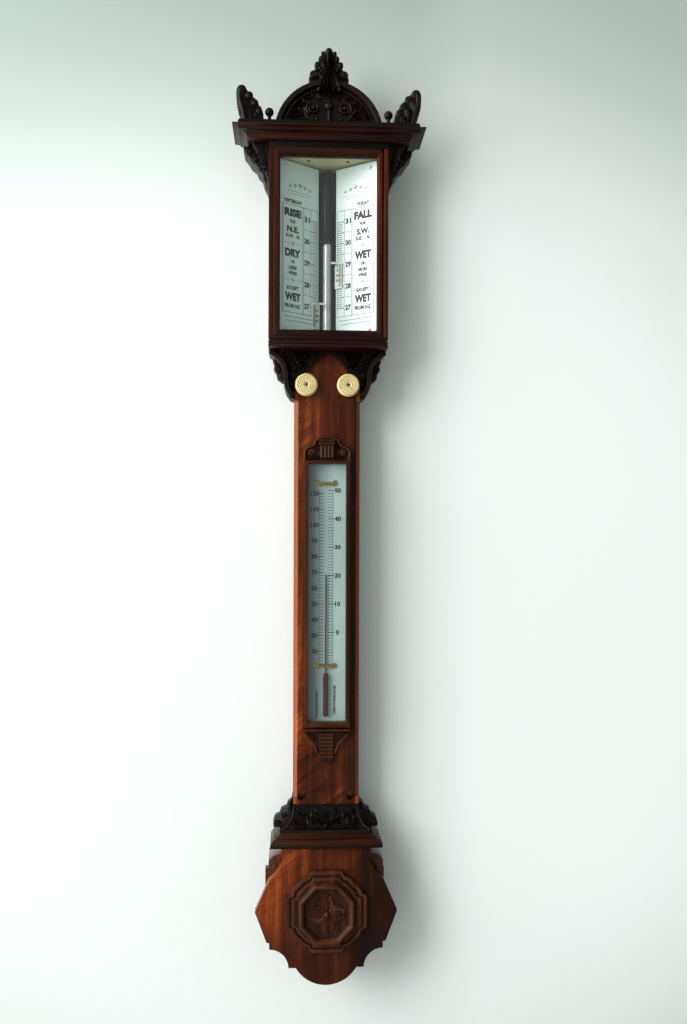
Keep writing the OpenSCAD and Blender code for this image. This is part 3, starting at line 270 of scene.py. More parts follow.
# the trunk is painted darker towards its right, where its thermometer frame shades it, and towards its top and its
# foot: painted shade with some of its own tone
TRUNK_WOOD = wood("trunk_wood", "1c0a04", "6e2c0c", "c06222", band_scale=0.9, figure=0.5,
                  arris=(0.0338, 0.0382, "944a1e"),
                  shade_and_tone=(("X", 0.024, 0.034, 0.7), ("Z", -0.66, -0.7, 0.5), ("Z", -0.4, -0.32, 0.35)))
# the base is painted darker towards its right, where its boss shades it, and towards its foot, and lighter at its
# window-lit left edge: painted shade with some of its own tone
BASE_WOOD = wood("base_wood", "180803", "722e0e", "bc5c1c", band_scale=0.8, figure=0.42,
                 shade_and_tone=(("X", 0.0, 0.05, 0.85), ("Z", -0.86, -0.9, 0.6), ("X", -0.045, -0.01, 0.35)))
# carved sets how strongly the hollows take that painted shade
CARVED_WOOD = wood("carved_wood", "050302", "100906", "30190f", figure=0.05, roughness=0.42, coat=0.03, carved=0.8)
BOSS_WOOD = wood("boss_wood", "160904", "3e1d0f", "6c381e", figure=0.05, roughness=0.58, coat=0.03, carved=0.4)
BOXWOOD = wood("boxwood", "8a6230", "b98a4a", "cfa263", roughness=0.42, coat=0.1)
CEILING = plain("cream_paint", "cfc79a", 0.5, second="c3bb8c", scale=60)
OPAL = plain("opal_glass", "dcebe6", 0.22, second="d3e4de", scale=25, Coat_Weight=0.3, Coat_Roughness=0.08)
# a greyer opal with a painted shadow: darker towards its left, where its frame's side shades it
GREY_SHADED_OPAL = plain("grey_opal_glass_shadowed", "b4cbc4", 0.25, second="a6beb8", scale=25, across=(-0.018, 0.012, "6b7979"),
                  Coat_Weight=0.3, Coat_Roughness=0.08)
INK = plain("fired_black", "07090a", 0.5, second="0e1112", scale=400)
IVORY = plain("ivory", "ead9a4", 0.3, second="dfc98c", scale=180, Coat_Weight=0.2)
BONE = plain("vernier_bone", "d5dccb", 0.35, second="c9d2c0", scale=180)
BRASS = plain("lacquered_brass", "b08a45", 0.3, 1.0, second="8f6c33", scale=220)
BRIGHT_BRASS = plain("polished_brass", "d9b866", 0.2, 1.0, second="5e4518", scale=700, contrast=0.3, bump=0.8)
STEEL_DARK = plain("aged_brass", "7d6234", 0.4, 1.0, second="5b4626", scale=260)
# painted reflection: the mercury is partly matt and near white, standing in for the bright plates and window it
# reflects
QUICKSILVER = plain("mercury", "f8fafa", 0.22, 0.4, second="e2e8e9", scale=90)
SPIRIT = plain("red_spirit", "4a0509", 0.3, second="240305", scale=90, Specular_IOR_Level=0.2)
LEATHER = plain("leather", "7c5632", 0.6, second="5f4025", scale=700, bump=0.6)
CORK = plain("cork", "3b2a1b", 0.8, second="2a1d12", scale=500, bump=0.6)
PANE = clear_glass("door_glass", "e8f2f0", 0.0, 0.75)
# partly its tint, partly painted shade: the tube's glass holds a dark grey share that stands in for the shaded slot
# behind it
TUBE_GLASS = clear_glass("tube_glass", "39454a", 0.16, 0.6)
STEM_GLASS = clear_glass("stem_glass", "b9c8c8", 0.0, 0.12)
# painted shade: a near-black disc stands for the knob's hole
DARK = plain("dark_hole", "060403", 0.8)


# Meshes

SAME_SPOT = 2e-6           # distance within which corners are one
FLAT_DEGREES = 0.4         # faces that turn by less are one
EDGE_DEGREES = 28          # edges that turn by more are rounded over
FRIEZE_BACK = -0.058       # the ceiling board's underside is near-black painted shade in front of this and cream paint behind it


def skin(rows):
    """The faces of a closed skin over rows of points, with a cap at either end."""
    faces = []
    for a, b in zip(rows, rows[1:]):
        for i in range(len(a)):
            j = (i + 1) % len(a)
            faces.append((a[i], a[j], b[j], b[i]))
    return [*faces, tuple(reversed(rows[0])), tuple(rows[-1])]


def as_object(name, mesh, material, sharp=35):
    """A finished mesh as an object at the origin, smooth except where it turns by more than sharp degrees."""
    piece = bpy.data.objects.new(name, mesh)
    bpy.context.scene.collection.objects.link(piece)
    mesh.materials.clear()
    mesh.materials.append(material)
    mesh.shade_smooth()
    mesh.set_sharp_from_angle(angle=math.radians(sharp))
    return piece


def hand_over(piece, body, slot, *nodes):
    """Lets a piece ride on a body and hides the CAD nodes that it stands for. Its slot is not used."""
    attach(piece, body)
    if nodes:
        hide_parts(*nodes)
    return piece


def softened(node, material, width, body="case"):
    """A CAD node's shape with its sharp edges rounded over by hand, as real joinery has them."""
    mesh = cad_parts[node].data.copy()
    mesh.name = node + "_softened"
    bm = bmesh.new()
    bm.from_mesh(mesh)
    bmesh.ops.remove_doubles(bm, verts=bm.verts, dist=SAME_SPOT)
    bmesh.ops.dissolve_limit(bm, angle_limit=math.radians(FLAT_DEGREES), verts=bm.verts, edges=bm.edges)
    edges = [e for e in bm.edges if len(e.link_faces) == 2 and e.calc_face_angle(0) > math.radians(EDGE_DEGREES)]
    bmesh.ops.bevel(bm, geom=edges, offset=width, segments=2, profile=0.6, affect="EDGES", clamp_overlap=True)
    bmesh.ops.recalc_face_normals(bm, faces=bm.faces)
    bm.to_mesh(mesh)
    bm.free()
    return hand_over(as_object("wooden_" + node, mesh, material), body, "case_wood", node)


def two_faced_ceiling():
    """The head's top board: near-black wood in front, painted shade under the cornice where it shows as a frieze, and
    cream paint underneath.
    """
    piece = softened("head_ceiling", FRIEZE_SHADE_WOOD, 0.3 * MM)
    piece.data.materials.append(CEILING)
    for face in piece.data.polygons:
        if face.normal.z < -0.9 and face.center.y > FRIEZE_BACK:
            face.material_index = 1


def dress(material, *nodes):
    """Gives CAD nodes a material and keeps their shape."""
    for node in nodes:
        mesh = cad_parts[node].data
        mesh.materials.clear()
        mesh.materials.append(material)


# Carving

# A ridge's cross-sections from edge to edge: shares of its half width and of its rise.
ROUND = ((-1, 0), (-0.93, 0.42), (-0.7, 0.75), (-0.36, 0.95), (0, 1), (0.36, 0.95), (0.7, 0.75), (0.93, 0.42), (1, 0))
VEINED = ((-1, 0), (-0.94, 0.5), (-0.72, 0.8), (-0.42, 0.56), (-0.13, 0.74), (0, 1), (0.13, 0.74), (0.42, 0.56),
          (0.72, 0.8), (0.94, 0.5), (1, 0))
GOUGED = ((-1, 0), (-0.95, 0.7), (-0.76, 1), (-0.45, 0.58), (0, 0.4), (0.45, 0.58), (0.76, 1), (0.95, 0.7), (1, 0))
FLAT = ((-1, 0), (-1, 0.75), (-0.8, 1), (0.8, 1), (1, 0.75), (1, 0))
SIDES = ((-1, "left"), (1, "right"))
CURVE_STEPS = 24


def along(points, count):
    """Evenly spaced points on a smooth curve through the given ones, each with its direction."""
    points = [Vector(p) for p in points]
    ends = [2 * points[0] - points[1], *points, 2 * points[-1] - points[-2]]
    dense = []
    for i in range(len(points) - 1):
        a, b, c, d = ends[i:i + 4]
        for t in (k / CURVE_STEPS for k in range(CURVE_STEPS)):
            dense.append(0.5 * (2 * b + (c - a) * t + (2 * a - 5 * b + 4 * c - d) * t * t
                                + (3 * b - a - 3 * c + d) * t ** 3))
    dense.append(points[-1])
    reach = [0.0]
    for a, b in zip(dense, dense[1:]):
        reach.append(reach[-1] + (b - a).length)
    found, k = [], 0
    for i in range(count):
        want = reach[-1] * i / (count - 1)
        while k < len(dense) - 2 and reach[k + 1] < want:
            k += 1
        step = dense[k + 1] - dense[k]
        share = (want - reach[k]) / max(reach[k + 1] - reach[k], 1e-9)
        found.append((dense[k] + step * share, step.normalized()))
    return found


# Breadths of a stroke from its root at 0 to its tip at 1

def leaf_width(t):
    return 0.36 * (1 - t) ** 2 + math.sin(math.pi * min(1, t ** 0.75)) ** 0.8 if t < 1 else 0.02


def lobe_width(t):
    """Broad to a round end."""
    if t < 0.7:
        return 0.62 + 0.38 * math.sin(math.pi * t * 0.75)
    return math.sqrt(max(0.0, 1 - ((t - 0.7) / 0.3) ** 2)) + 0.02


def circle(count):
    """The cosine and sine of even steps round a circle."""
    return [(math.cos(math.tau * k / count), math.sin(math.tau * k / count)) for k in range(count)]


def turned(points, angle):
    """Points of x and z turned about zero by an angle in degrees."""
    c, s = math.cos(math.radians(angle)), math.sin(math.radians(angle))
    return [(x * c - z * s, x * s + z * c) for x, z in points]


def from_line(line, *points):
    """Points whose x is measured from a line."""
    return [(line + x, z) for x, z in points]


def depth_at(depth, x, z):
    return depth(x, z) if callable(depth) else depth


class Carving:
    """Carved work in millimetres: x and z as seen from the front, z from a height, depth as distance from the wall.

    Strokes and domes stand on the bed that on() sets last. Its depths are numbers, or functions of x and z where
    the ground is curved.
    """

    def __init__(self, z, side=1):
        self.z, self.side = z, side
        self.points, self.faces, self.relief = [], [], []

    def on(self, front, back):
        """Sets the depths of the edges and of the undersides of the work that follows."""
        self.front, self.back = front, back
        return self

    def add(self, x, depth, z, relief):
        self.points.append((self.side * x * MM, -depth * MM, self.z + z * MM))
        self.relief.append(relief)
        return len(self.points) - 1

    def bridge(self, rows):
        self.faces += skin(rows)

    def stroke(self, path, width, rise, section=VEINED, breadth=leaf_width, lift=0.0, count=14):
        """One closed ridge along a path, its crest rise before the bed and its tip lifted by lift."""
        rows = []
        for i, (p, d) in enumerate(along(path, count)):
            t = i / (count - 1)
            half = width * max(breadth(t), 0.02)
            crest = rise * (0.35 + 0.65 * min(1.0, breadth(t)))
            edge = depth_at(self.front, p.x, p.y) + lift * t * t
            under = depth_at(self.back, p.x, p.y)
            row = [self.add(p.x - d.y * s * half, edge + h * crest, p.y + d.x * s * half, 0.12 + 0.88 * h)
                   for s, h in section]
            row += [self.add(p.x - d.y * half * s, under, p.y + d.x * half * s, 0.0) for s in (0.9, -0.9)]
            rows.append(row)
        self.bridge(rows)

    def bead(self, path, width, rise, count, section=ROUND):
        """A stroke of even breadth."""
        self.stroke(path, width, rise, section, lambda t: 1.0, 0.0, count)

    def scroll(self, x, z, radius, turns, start, width, rise, eye=0.32, clockwise=True):
        """A volute that winds inwards to a raised eye."""
        sweep = (-360 if clockwise else 360) * turns
        path = []
        steps = int(turns * 10)
        for i in range(steps + 1):
            t = i / steps
            angle = math.radians(start + sweep * t)
            reach = (radius - width) * (1 - t) + radius * eye * t
            path.append((x + reach * math.cos(angle), z + reach * math.sin(angle)))
        self.stroke(path, width, rise, ROUND, lambda t: 1 - 0.55 * t, rise * 0.4, int(turns * 18))
        self.dome(x, z, radius * eye, rise * 1.3)

    def dome(self, x, z, radius, rise, count=14):
        """A round boss with a ball's top."""
        ground, under = depth_at(self.front, x, z), depth_at(self.back, x, z)
        profile = ((under, 0.95, 0), (ground, 1, 0.1), (ground + rise * 0.45, 0.96, 0.5),
                   (ground + rise * 0.75, 0.78, 0.8), (ground + rise * 0.93, 0.48, 0.95), (ground + rise, 0.12, 1))
        self.bridge([[self.add(x + radius * share * c, depth, z + radius * share * s, relief)
                      for c, s in circle(count)] for depth, share, relief in profile])

    def board(self, outline, front, back, edge=0.6, relief=0.1):
        """A flat piece with a small round-over at its front edge. The outline is a loop of x and z."""
        n = len(outline)
        area = sum(a[0] * b[1] - b[0] * a[1] for a, b in zip(outline, [*outline[1:], outline[0]]))
        inward = edge if area > 0 else -edge
        inner = []
        for i in range(n):
            a, b, c = (Vector(outline[(i + k) % n]) for k in (-1, 0, 1))
            u, v = (b - a).normalized(), (c - b).normalized()
            m = (u + v).normalized() if (u + v).length > 0.2 else u
            inner.append((b.x - m.y * inward, b.y + m.x * inward))
        self.bridge([[self.add(x, depth, z, share) for x, z in loop] for loop, depth, share in
                     ((outline, back, 0.0), (outline, front - edge, relief), (inner, front, relief))])

    def acanthus(self, path, width, rise, lobes=4, lift=2.0):
        """A leaf with a strong midrib and pairs of gouged lobes that grow shorter towards its tip."""
        spots = along(path, lobes * 2 + 3)
        length = sum((b[0] - a[0]).length for a, b in zip(spots, spots[1:]))
        for k in range(lobes):
            p, d = spots[1 + 2 * k]
            t = k / lobes
            size = width * (1.1 - 0.6 * t) * (1 if t else 0.85)
            for s in (-1, 1):
                across = Vector((-d.y, d.x)) * s
                out = p + across * size * 0.62 + d * size * 0.42
                end = p + across * size * 0.92 + d * size * 1.05
                self.stroke([p, out, end], size * 0.4, rise * 0.8, GOUGED, lobe_width, lift * 0.5, 7)
        self.stroke(path, width * 0.34, rise * 1.2, lift=lift, count=max(8, int(length / 2)))
        end, d = spots[-1]
        self.dome(end.x - d.x, end.y - d.y, width * 0.2, rise * 0.9, 9)

    def finish(self, node, name=None, material=None, sharp=42):
        """The carving as a piece that stands for a CAD node."""
        name = "carved_" + (name or node)
        mesh = bpy.data.meshes.new(name)
        mesh.from_pydata(self.points, [], self.faces)
        mesh.attributes.new("relief", "FLOAT", "POINT").data.foreach_set("value", self.relief)
        bm = bmesh.new()
        bm.from_mesh(mesh)
        bmesh.ops.recalc_face_normals(bm, faces=bm.faces)
        bm.to_mesh(mesh)
        bm.free()
        hand_over(as_object(name, mesh, material or CARVED_WOOD, sharp), "case", "carved_wood", node)


class Block:
    """A CAD node's box. Its sides are in metres. Its distances from the wall, width and height are in millimetres."""

    def __init__(self, node):
        low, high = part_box(node)
        self.left, self.right, self.bottom, self.top = low.x, high.x, low.z, high.z
        self.front, self.back = -low.y / MM, -high.y / MM
        self.width, self.height = (high.x - low.x) / MM, (high.z - low.z) / MM
        self.outer = max(abs(low.x), abs(high.x)) / MM


def carve_finial():
    arch = Block("pediment")
    face, lap = arch.front - 6, arch.front
    c = Carving(arch.top)
    for c.side in (-1, 1):
        c.board([(0, -6), (0, 36), (3, 36), (6, 32), (9, 27), (12.6, 22), (14.6, 16), (20, 12), (23.2, 4), (22, -4),
                 (15, -6)], face - 2, face - 10, 1.2)
        for x, z, r in ((6.1, 32.6, 3.0), (8.6, 26.6, 3.6), (12.6, 19.6, 4.1)):
            c.on(face - 2, face - 8)
            c.stroke([(1.5, z - 15), (x * 0.6, z - 4), (x, z + 0.6)], r, 2.6, GOUGED, lobe_width, 0.6, 10)
            c.on(face - 3, face - 9).dome(x + 0.4, z + 0.4, r * 0.9, 3.2, 12)
        c.on(face - 2, face - 9).scroll(17.4, 7.4, 6.5, 1.3, 200, 2.5, 3.2)
        c.on(face - 1, face - 8).stroke([(4, -6), (8.6, 2), (12.6, 10), (13, 14)], 2.2, 2.8, GOUGED)
        c.on(face - 0.5, face - 6).stroke([(1.8, -4), (3.4, 10), (5.0, 22), (3.8, 31)], 1.9, 3.2)
        c.on(face - 1, face - 8).stroke([(9, -5), (15, -2.6), (21.4, -1.4)], 2.0, 2.4, ROUND)
    c.side = 1
    c.on(face, face - 8).stroke([(0, -6), (0, 10), (0, 24), (0, 35)], 2.3, 4.4, lift=1.0)
    c.on(face - 4, face - 9).dome(0, 35.6, 4.4, 4.4)
    # fluted leaf that laps the arch, its tips curling forward
    for c.side in (-1, 1):
        c.on(lap, face).stroke([(2.6, 12), (4.8, 3), (7.8, -6), (11.6, -13.4)], 2.4, 3.2, GOUGED, lobe_width, 2.6)
        c.on(lap + 1, face).dome(11.8, -13.0, 2.4, 3.4, 10)
        c.on(lap, face).stroke([(1.6, 12), (2.8, 2), (4.2, -8), (5.4, -16.4)], 2.0, 3.6, GOUGED, lobe_width, 2.4)
    c.side = 1
    c.stroke([(0, 14), (0, -2), (0, -20)], 1.7, 4.2, lift=0.6)
    # ball over a cone, on a tapering foot
    c.z = Block("blocking").top
    c.on(face + 0.4, face).dome(0, 24.2, 5.3, 5.6)
    c.on(face, face - 1).stroke([(0, 27), (0, 33.6)], 3.0, 2.2, ROUND, lambda t: 1 - 0.8 * t, 0, 5)
    c.board([(-6.4, 0), (6.4, 0), (6.4, 4), (4.2, 7), (2.8, 12), (2.6, 19.6), (-2.6, 19.6), (-2.8, 12), (-4.2, 7),
             (-6.4, 4)], face + 3.4, face)
    c.on(face + 3.4, face).bead([(0, 5), (0, 18)], 1.7, 1.6, 4)
    c.finish("finial")


def carve_pediment():
    arch = Block("pediment")
    face = arch.front - 6
    radius = (arch.height ** 2 + (arch.width / 2) ** 2) / (2 * arch.height)
    sink = radius - arch.height
    c = Carving(arch.bottom)
    count, rows = 72, []
    # the moulded rim by its insets from the arch, depths and relief
    for inset, depth, relief in (
            (0, arch.back, 0.0), (0, arch.front - 1.4, 0.3), (1.1, arch.front, 0.9), (5.6, arch.front, 1.0),
            (7.0, arch.front - 1.6, 0.5), (7.6, face + 1.2, 0.05), (8.2, face + 1.0, 0.05), (8.8, face + 2.8, 0.9),
            (10.2, face + 3.0, 1.0), (10.9, face + 1.8, 0.5), (11.2, face, 0.05)):
        r = radius - inset
        low = math.asin(min(1, sink / r))
        rows.append([c.add(r * math.cos(a), depth, r * math.sin(a) - sink, relief)
                     for a in (low + (math.pi - 2 * low) * k / count for k in range(count + 1))])
    for a, b in zip(rows, rows[1:]):
        for k in range(count):
            c.faces.append((a[k], a[k + 1], b[k + 1], b[k]))
    centre = c.add(0, face, radius * 0.35, 0.05)
    for k in range(count):
        c.faces.append((rows[-1][k], rows[-1][k + 1], centre))
    c.faces.append((rows[-1][count], rows[-1][0], centre))
    c.faces.append(tuple(rows[0]))
    c.faces.append(tuple([row[count] for row in rows] + [row[0] for row in reversed(rows)]))
    c.finish("pediment", sharp=38)
    v = Carving(arch.bottom + 1.6 * MM).on(face - 0.2, face - 1)
    for v.side in (-1, 1):
        v.bead([(7, 2), (15, 4.4), (23, 8.4), (28, 15)], 1.7, 2.8, 18)
        v.scroll(18.4, 20, 9.8, 1.7, -50, 2.1, 3.6, 0.24, clockwise=False)
        v.acanthus([(27, 12), (33, 16), (40, 14), (46, 6)], 6.0, 2.8)
        for path, width in (([(27, 24), (32, 26), (37, 24), (41, 18)], 5.0),
                            ([(20, 30), (24, 34.5), (30, 35), (34, 31)], 4.6)):
            v.acanthus(path, width, 2.6, 3)
        v.stroke([(10, 30), (13, 36), (18, 40)], 2.0, 2.4)
        v.acanthus([(24, 3), (32, 6), (41, 3)], 4.0, 2.6, 3)
        v.dome(13.6, 8.4, 2.2, 2.2)
    v.finish("volutes", "foliage")


def carve_ear(side, hand):
    box = Block(hand + "_ear")
    face = box.front - 3
    c = Carving(box.bottom, side)

    def at(k, h):
        """A point by its shares of the ear's width, inwards, and of its height."""
        return box.outer - k * box.width, h * box.height

    c.board([at(k, h) for k, h in (
        (0.2, 0), (0.2, 0.24), (0.1, 0.28), (0.02, 0.5), (0, 0.74), (0.01, 0.88), (0.08, 0.97), (0.2, 1), (0.33, 0.95),
        (0.42, 0.84), (0.54, 0.8), (0.62, 0.68), (0.73, 0.62), (0.81, 0.49), (0.92, 0.4), (0.98, 0.26), (1, 0.15),
        (1, 0))], face, box.back, 2.2)
    c.on(face - 1, face - 3).dome(*at(0.2, 0.855), 5.4, 2.6, 18)
    for k, h, r in ((0.47, 0.7, 4.7), (0.68, 0.5, 4.3), (0.84, 0.28, 3.9)):
        c.on(face - 1, face - 3).dome(*at(k, h), r, 2.6, 16)
        c.on(face - 0.4, face - 2)
        c.stroke([at(k - 0.24, h - 0.36), at(k - 0.1, h - 0.16), at(k, h + 0.02)], r * 0.62, 2.4, lift=0.4, count=12)
    c.bead([at(0.34, 0), at(0.24, 0.32), at(0.14, 0.62), at(0.16, 0.84)], 2.6, 2.8, 14)
    c.stroke([at(0.56, 0), at(0.46, 0.28), at(0.36, 0.58)], 2.2, 2.6)
    c.stroke([at(0.8, 0), at(0.7, 0.18), at(0.6, 0.4)], 2.2, 2.4)
    c.finish(hand + "_ear")


def carve_balls():
    box = Block("cornice_balls")
    radius = 5
    c = Carving(box.bottom)
    centre = (box.front + box.back) / 2
    x = box.width / 2 - radius
    ball = [(13 + radius * math.sin(a), radius * math.cos(a)) for a in map(math.radians, range(-60, 90, 15))]
    profile = [(0.0, 4), (0.05, 4), (2, 4), (3.2, 2.6), (5, 2.1), (8.4, 2.2), *ball, (18, 0.3)]
    for c.side in (-1, 1):
        c.bridge([[c.add(x + r * cos, centre + r * sin, z, 0.35 + z / 36) for cos, sin in circle(20)]
                  for z, r in profile])
    c.finish("cornice_balls", "balls", sharp=50)


def carve_upper_bracket(side, hand):
    box = Block(hand + "_upper_bracket")
    root, reach = Block("head_sides").width / 2, box.width
    c = Carving(box.top, side)
    c.board(from_line(root, (0, 0), (19.5, 0), (16.5, -7), (11, -17), (6.5, -27), (3, -38), (0.6, -52), (0, -60)),
            box.front, box.back + 1, 1.2, 0.35)
    c.on(box.front - 1.4, box.front - 3)
    c.acanthus(from_line(root, (9.5, -1), (7.5, -12), (4.5, -24), (1.8, -38)), 6.0, 2.2, 5, 0.0)
    # scalloped leaf that shows outside the core
    c.board([(root, 0), *from_line(root + reach, (0, 0), (-1, -6), (-6, -12), (-9.6, -18), (-15, -22), (-17.6, -28),
                                   (-22.4, -33), (-24, -40)), (root + 3, -46), (root, -54)],
            box.front - 12, box.back + 9, 1.6)
    for x, z, r in ((-7.0, -6.8, 5.4), (-14.6, -15.4, 4.8), (-21.4, -25.6, 4.2), (-25.6, -36, 3.2)):
        x = root + (reach + x)
        c.on(box.front - 12.6, box.back + 12).scroll(x, z, r, 1.0, 80, 2.0, 2.2, 0.36)
        c.on(box.front - 12.6, box.front - 15).stroke([(x - 12, z - 6), (x - 6, z - 4), (x - 1, z)], 2.0, 2.2, count=9)
    c.finish(hand + "_upper_bracket")


def carve_lower_bracket(side, hand):
    box, trunk, knob = Block(hand + "_lower_bracket"), Block("trunk"), Block(hand + "_knob")
    edge, outer, face = trunk.width / 2, box.outer, trunk.front
    c = Carving(box.top, side)
    # rib beside the trunk with a raised band along its outer edge
    c.board([(edge, 0), *from_line(outer, (0, 0), (-0.6, -2.4), (-8, -9), (-13.8, -16), (-17, -25), (-17.6, -37),
                                   (-20, -46.5), (-25, -54)), (edge, -56)], face + 4.6, box.back, 1.0, 0.05)
    c.on(face + 5.6, face).bead(from_line(outer, (-1.6, -1.4), (-9.4, -7.4), (-15.8, -14.4), (-19.6, -24),
                                          (-20.4, -37), (-22.6, -45), (-27.0, -52.6)), 2.7, 3.4, 22, FLAT)
    c.on(face + 4.4, face + 2)
    c.acanthus([(outer - 8, -1.5), (edge + 13, -8), (edge + 7.4, -18), (edge + 4.4, -30)], 6.4, 3.2, 5, 1.0)
    c.acanthus([(edge + 3.6, -28), (edge + 3.6, -38), (edge + 1.6, -50)], 4.4, 2.6, 4, 0.4)
    # leafy wing outside the rib
    c.board(from_line(outer, (-6, -5), (-4.4, -9), (-6.4, -14), (-5.6, -19), (-9, -24), (-9.6, -29), (-15, -33.4),
                      (-22, -36), (-24, -10)), face - 8, box.back + 3, 1.4)
    c.on(face - 8.6, box.back + 4)
    for x, z, r in ((-9.8, -10.6, 5.4), (-10.8, -19.4, 5.2), (-15.4, -27.4, 4.6)):
        c.scroll(outer + x, z, r, 1.0, 100, 1.9, 2.2, 0.34)
    # spandrel on the trunk, cut to the arch and to the knob
    arch = [(-22 + math.sqrt(53 ** 2 - (z + 48) ** 2), z) for z in (-1, -5, -9.5, -14, -19, -24)]
    knob_x = abs(knob.left + knob.right) / 2 / MM
    knob_z = ((knob.bottom + knob.top) / 2 - box.top) / MM
    clear = knob.width / 2 + 1.2
    start = min(math.degrees(math.atan2(arch[-1][1] - knob_z, arch[-1][0] - knob_x)), 100)
    stop = math.degrees(math.acos(min(1, (edge - knob_x) / clear)))
    rim = [(knob_x + clear * math.cos(a), knob_z + clear * math.sin(a))
           for a in (math.radians(start + (stop - start) * k / 6) for k in range(7))]
    c.board([*arch, *rim, (edge, 0), (arch[0][0], 0)], face + 3.6, face - 0.5, 0.8, 0.05)
    c.on(face + 3.6, face).bead([(x - 0.9, z) for x, z in arch], 1.0, 1.8, 14)
    c.on(face + 3.6, face + 2)
    c.acanthus(from_line(edge, (1, -2.4), (-4, -9), (-9, -16.6), (-11.6, -22.6)), 7.4, 3.8, 4, 1.2)
    c.acanthus(from_line(edge, (-3, -2), (-11, -4.4), (-18, -9.4)), 5.8, 3.4, 4, 1.0)
    c.stroke(from_line(edge, (-14, -2.6), (-22, -3.4), (-28, -2.6)), 2.2, 2.6)
    c.stroke(from_line(edge, (-1, -14), (-2, -22), (-3.4, -27)), 2.4, 3.0)
    c.finish(hand + "_lower_bracket")


def carve_crest():
    box, trunk = Block("thermometer_crest"), Block("trunk")
    half, high, ground = box.width / 2, box.height, trunk.front + 4
    shoulder = ((1, 0), (1, 0.4), (0.9, 0.56), (0.77, 0.61), (0.61, 0.69), (0.52, 0.85), (0.32, 0.95), (0, 0.985))

    def outline(inset):
        """The crest's edge from its right foot over the shoulders to the left one, moved inwards."""
        right = [(k * half - inset * min(1, 3 * k), max(0.0, h * high - inset * min(1, 2 * h))) for k, h in shoulder]
        return right + [(-x, z) for x, z in reversed(right[:-1])]

    c = Carving(box.bottom)
    c.board(outline(0), ground, trunk.front, 0.8, 0.05)
    c.on(ground, trunk.front).bead(outline(1.9), 1.8, 4.0, 56)
    c.bead(outline(4.6), 0.6, 1.4, 50)
    # reeded keystone under its two-tiered cap
    c.board([(-8.8, 3), (8.8, 3), (8.8, high - 11), (-8.8, high - 11)], ground + 3, ground, 0.6, 0.4)
    c.on(ground + 2.6, ground)
    for x in (-6.3 + 4.2 * k for k in range(4)):
        c.bead([(x, 4), (x, high - 12)], 1.9, 1.6, 3)
    c.board([(-9.4, high - 12), (9.4, high - 12), (10.2, high - 8), (-10.2, high - 8)], ground + 5.4, ground, 1.4, 0.8)
    c.board([(-9.2, high - 8.2), (9.2, high - 8.2), (9.2, high - 4.2), (-9.2, high - 4.2)], ground + 4.4, ground,
            1.2, 0.5)
    c.on(ground, ground - 1)
    for c.side in (-1, 1):
        c.scroll(18.4, 9.6, 5.4, 1.2, 150, 2.0, 3.0, 0.3)
        c.acanthus([(10, 3), (14, 5.4), (21, 2.6)], 3.6, 2.6, 3, 0.4)
        c.acanthus([(10, 13), (12.6, 17.6), (14.6, 19.4)], 3.4, 2.6, 3, 0.4)
    c.finish("thermometer_crest", "crest", BOSS_WOOD)


def carve_corbel():
    box, trunk = Block("thermometer_corbel"), Block("trunk")
    half, low, ground = box.width / 2, -box.height, trunk.front + 4.5
    c = Carving(box.top)
    for c.side in (-1, 1):
        c.board([(0, 0), *from_line(half, (0, 0), (0, -3), (-2.6, -5.6), (-5.6, -10), (-10.6, -15.4), (-14.4, -21)),
                 (11.4, -27), (9.6, -31), (9, low + 5.4), (6.4, low + 1.6), (0, low)], ground, trunk.front, 1.0, 0.3)
        c.on(ground, ground - 1).bead([*from_line(half, (-4, -6.6), (-7, -11), (-12, -16.4), (-15.6, -22)),
                                       (10.4, -30)], 1.3, 2.2, 22)
        c.acanthus([(half - 4, -6), (half - 11, -9.6), (11.4, -17)], 4.0, 2.4, 4, 0.4)
        c.on(ground + 2.0, ground).bead([(half - 2, -3.2), (half / 2, -3.2), (0, -3.2)], 1.6, 3.6, 4)
    c.side = 1
    # banded block down the middle, deepest at its top
    crown = ground + 3.4 * (1 - 20 / box.height)
    c.board([(-8.6, -6), (8.6, -6), (8.4, low + 5.6), (6, low + 1.8), (0, low + 0.4), (-6, low + 1.8),
             (-8.4, low + 5.6)], crown, ground, 1.2, 0.4)
    c.on(crown - 0.6, ground)
    for z in (-8.4 - k * 4.4 for k in range(7)):
        c.bead([(-8, z), (0, z), (8, z)], 1.7, 1.5, 5)
    c.finish("thermometer_corbel", "corbel", BOSS_WOOD)


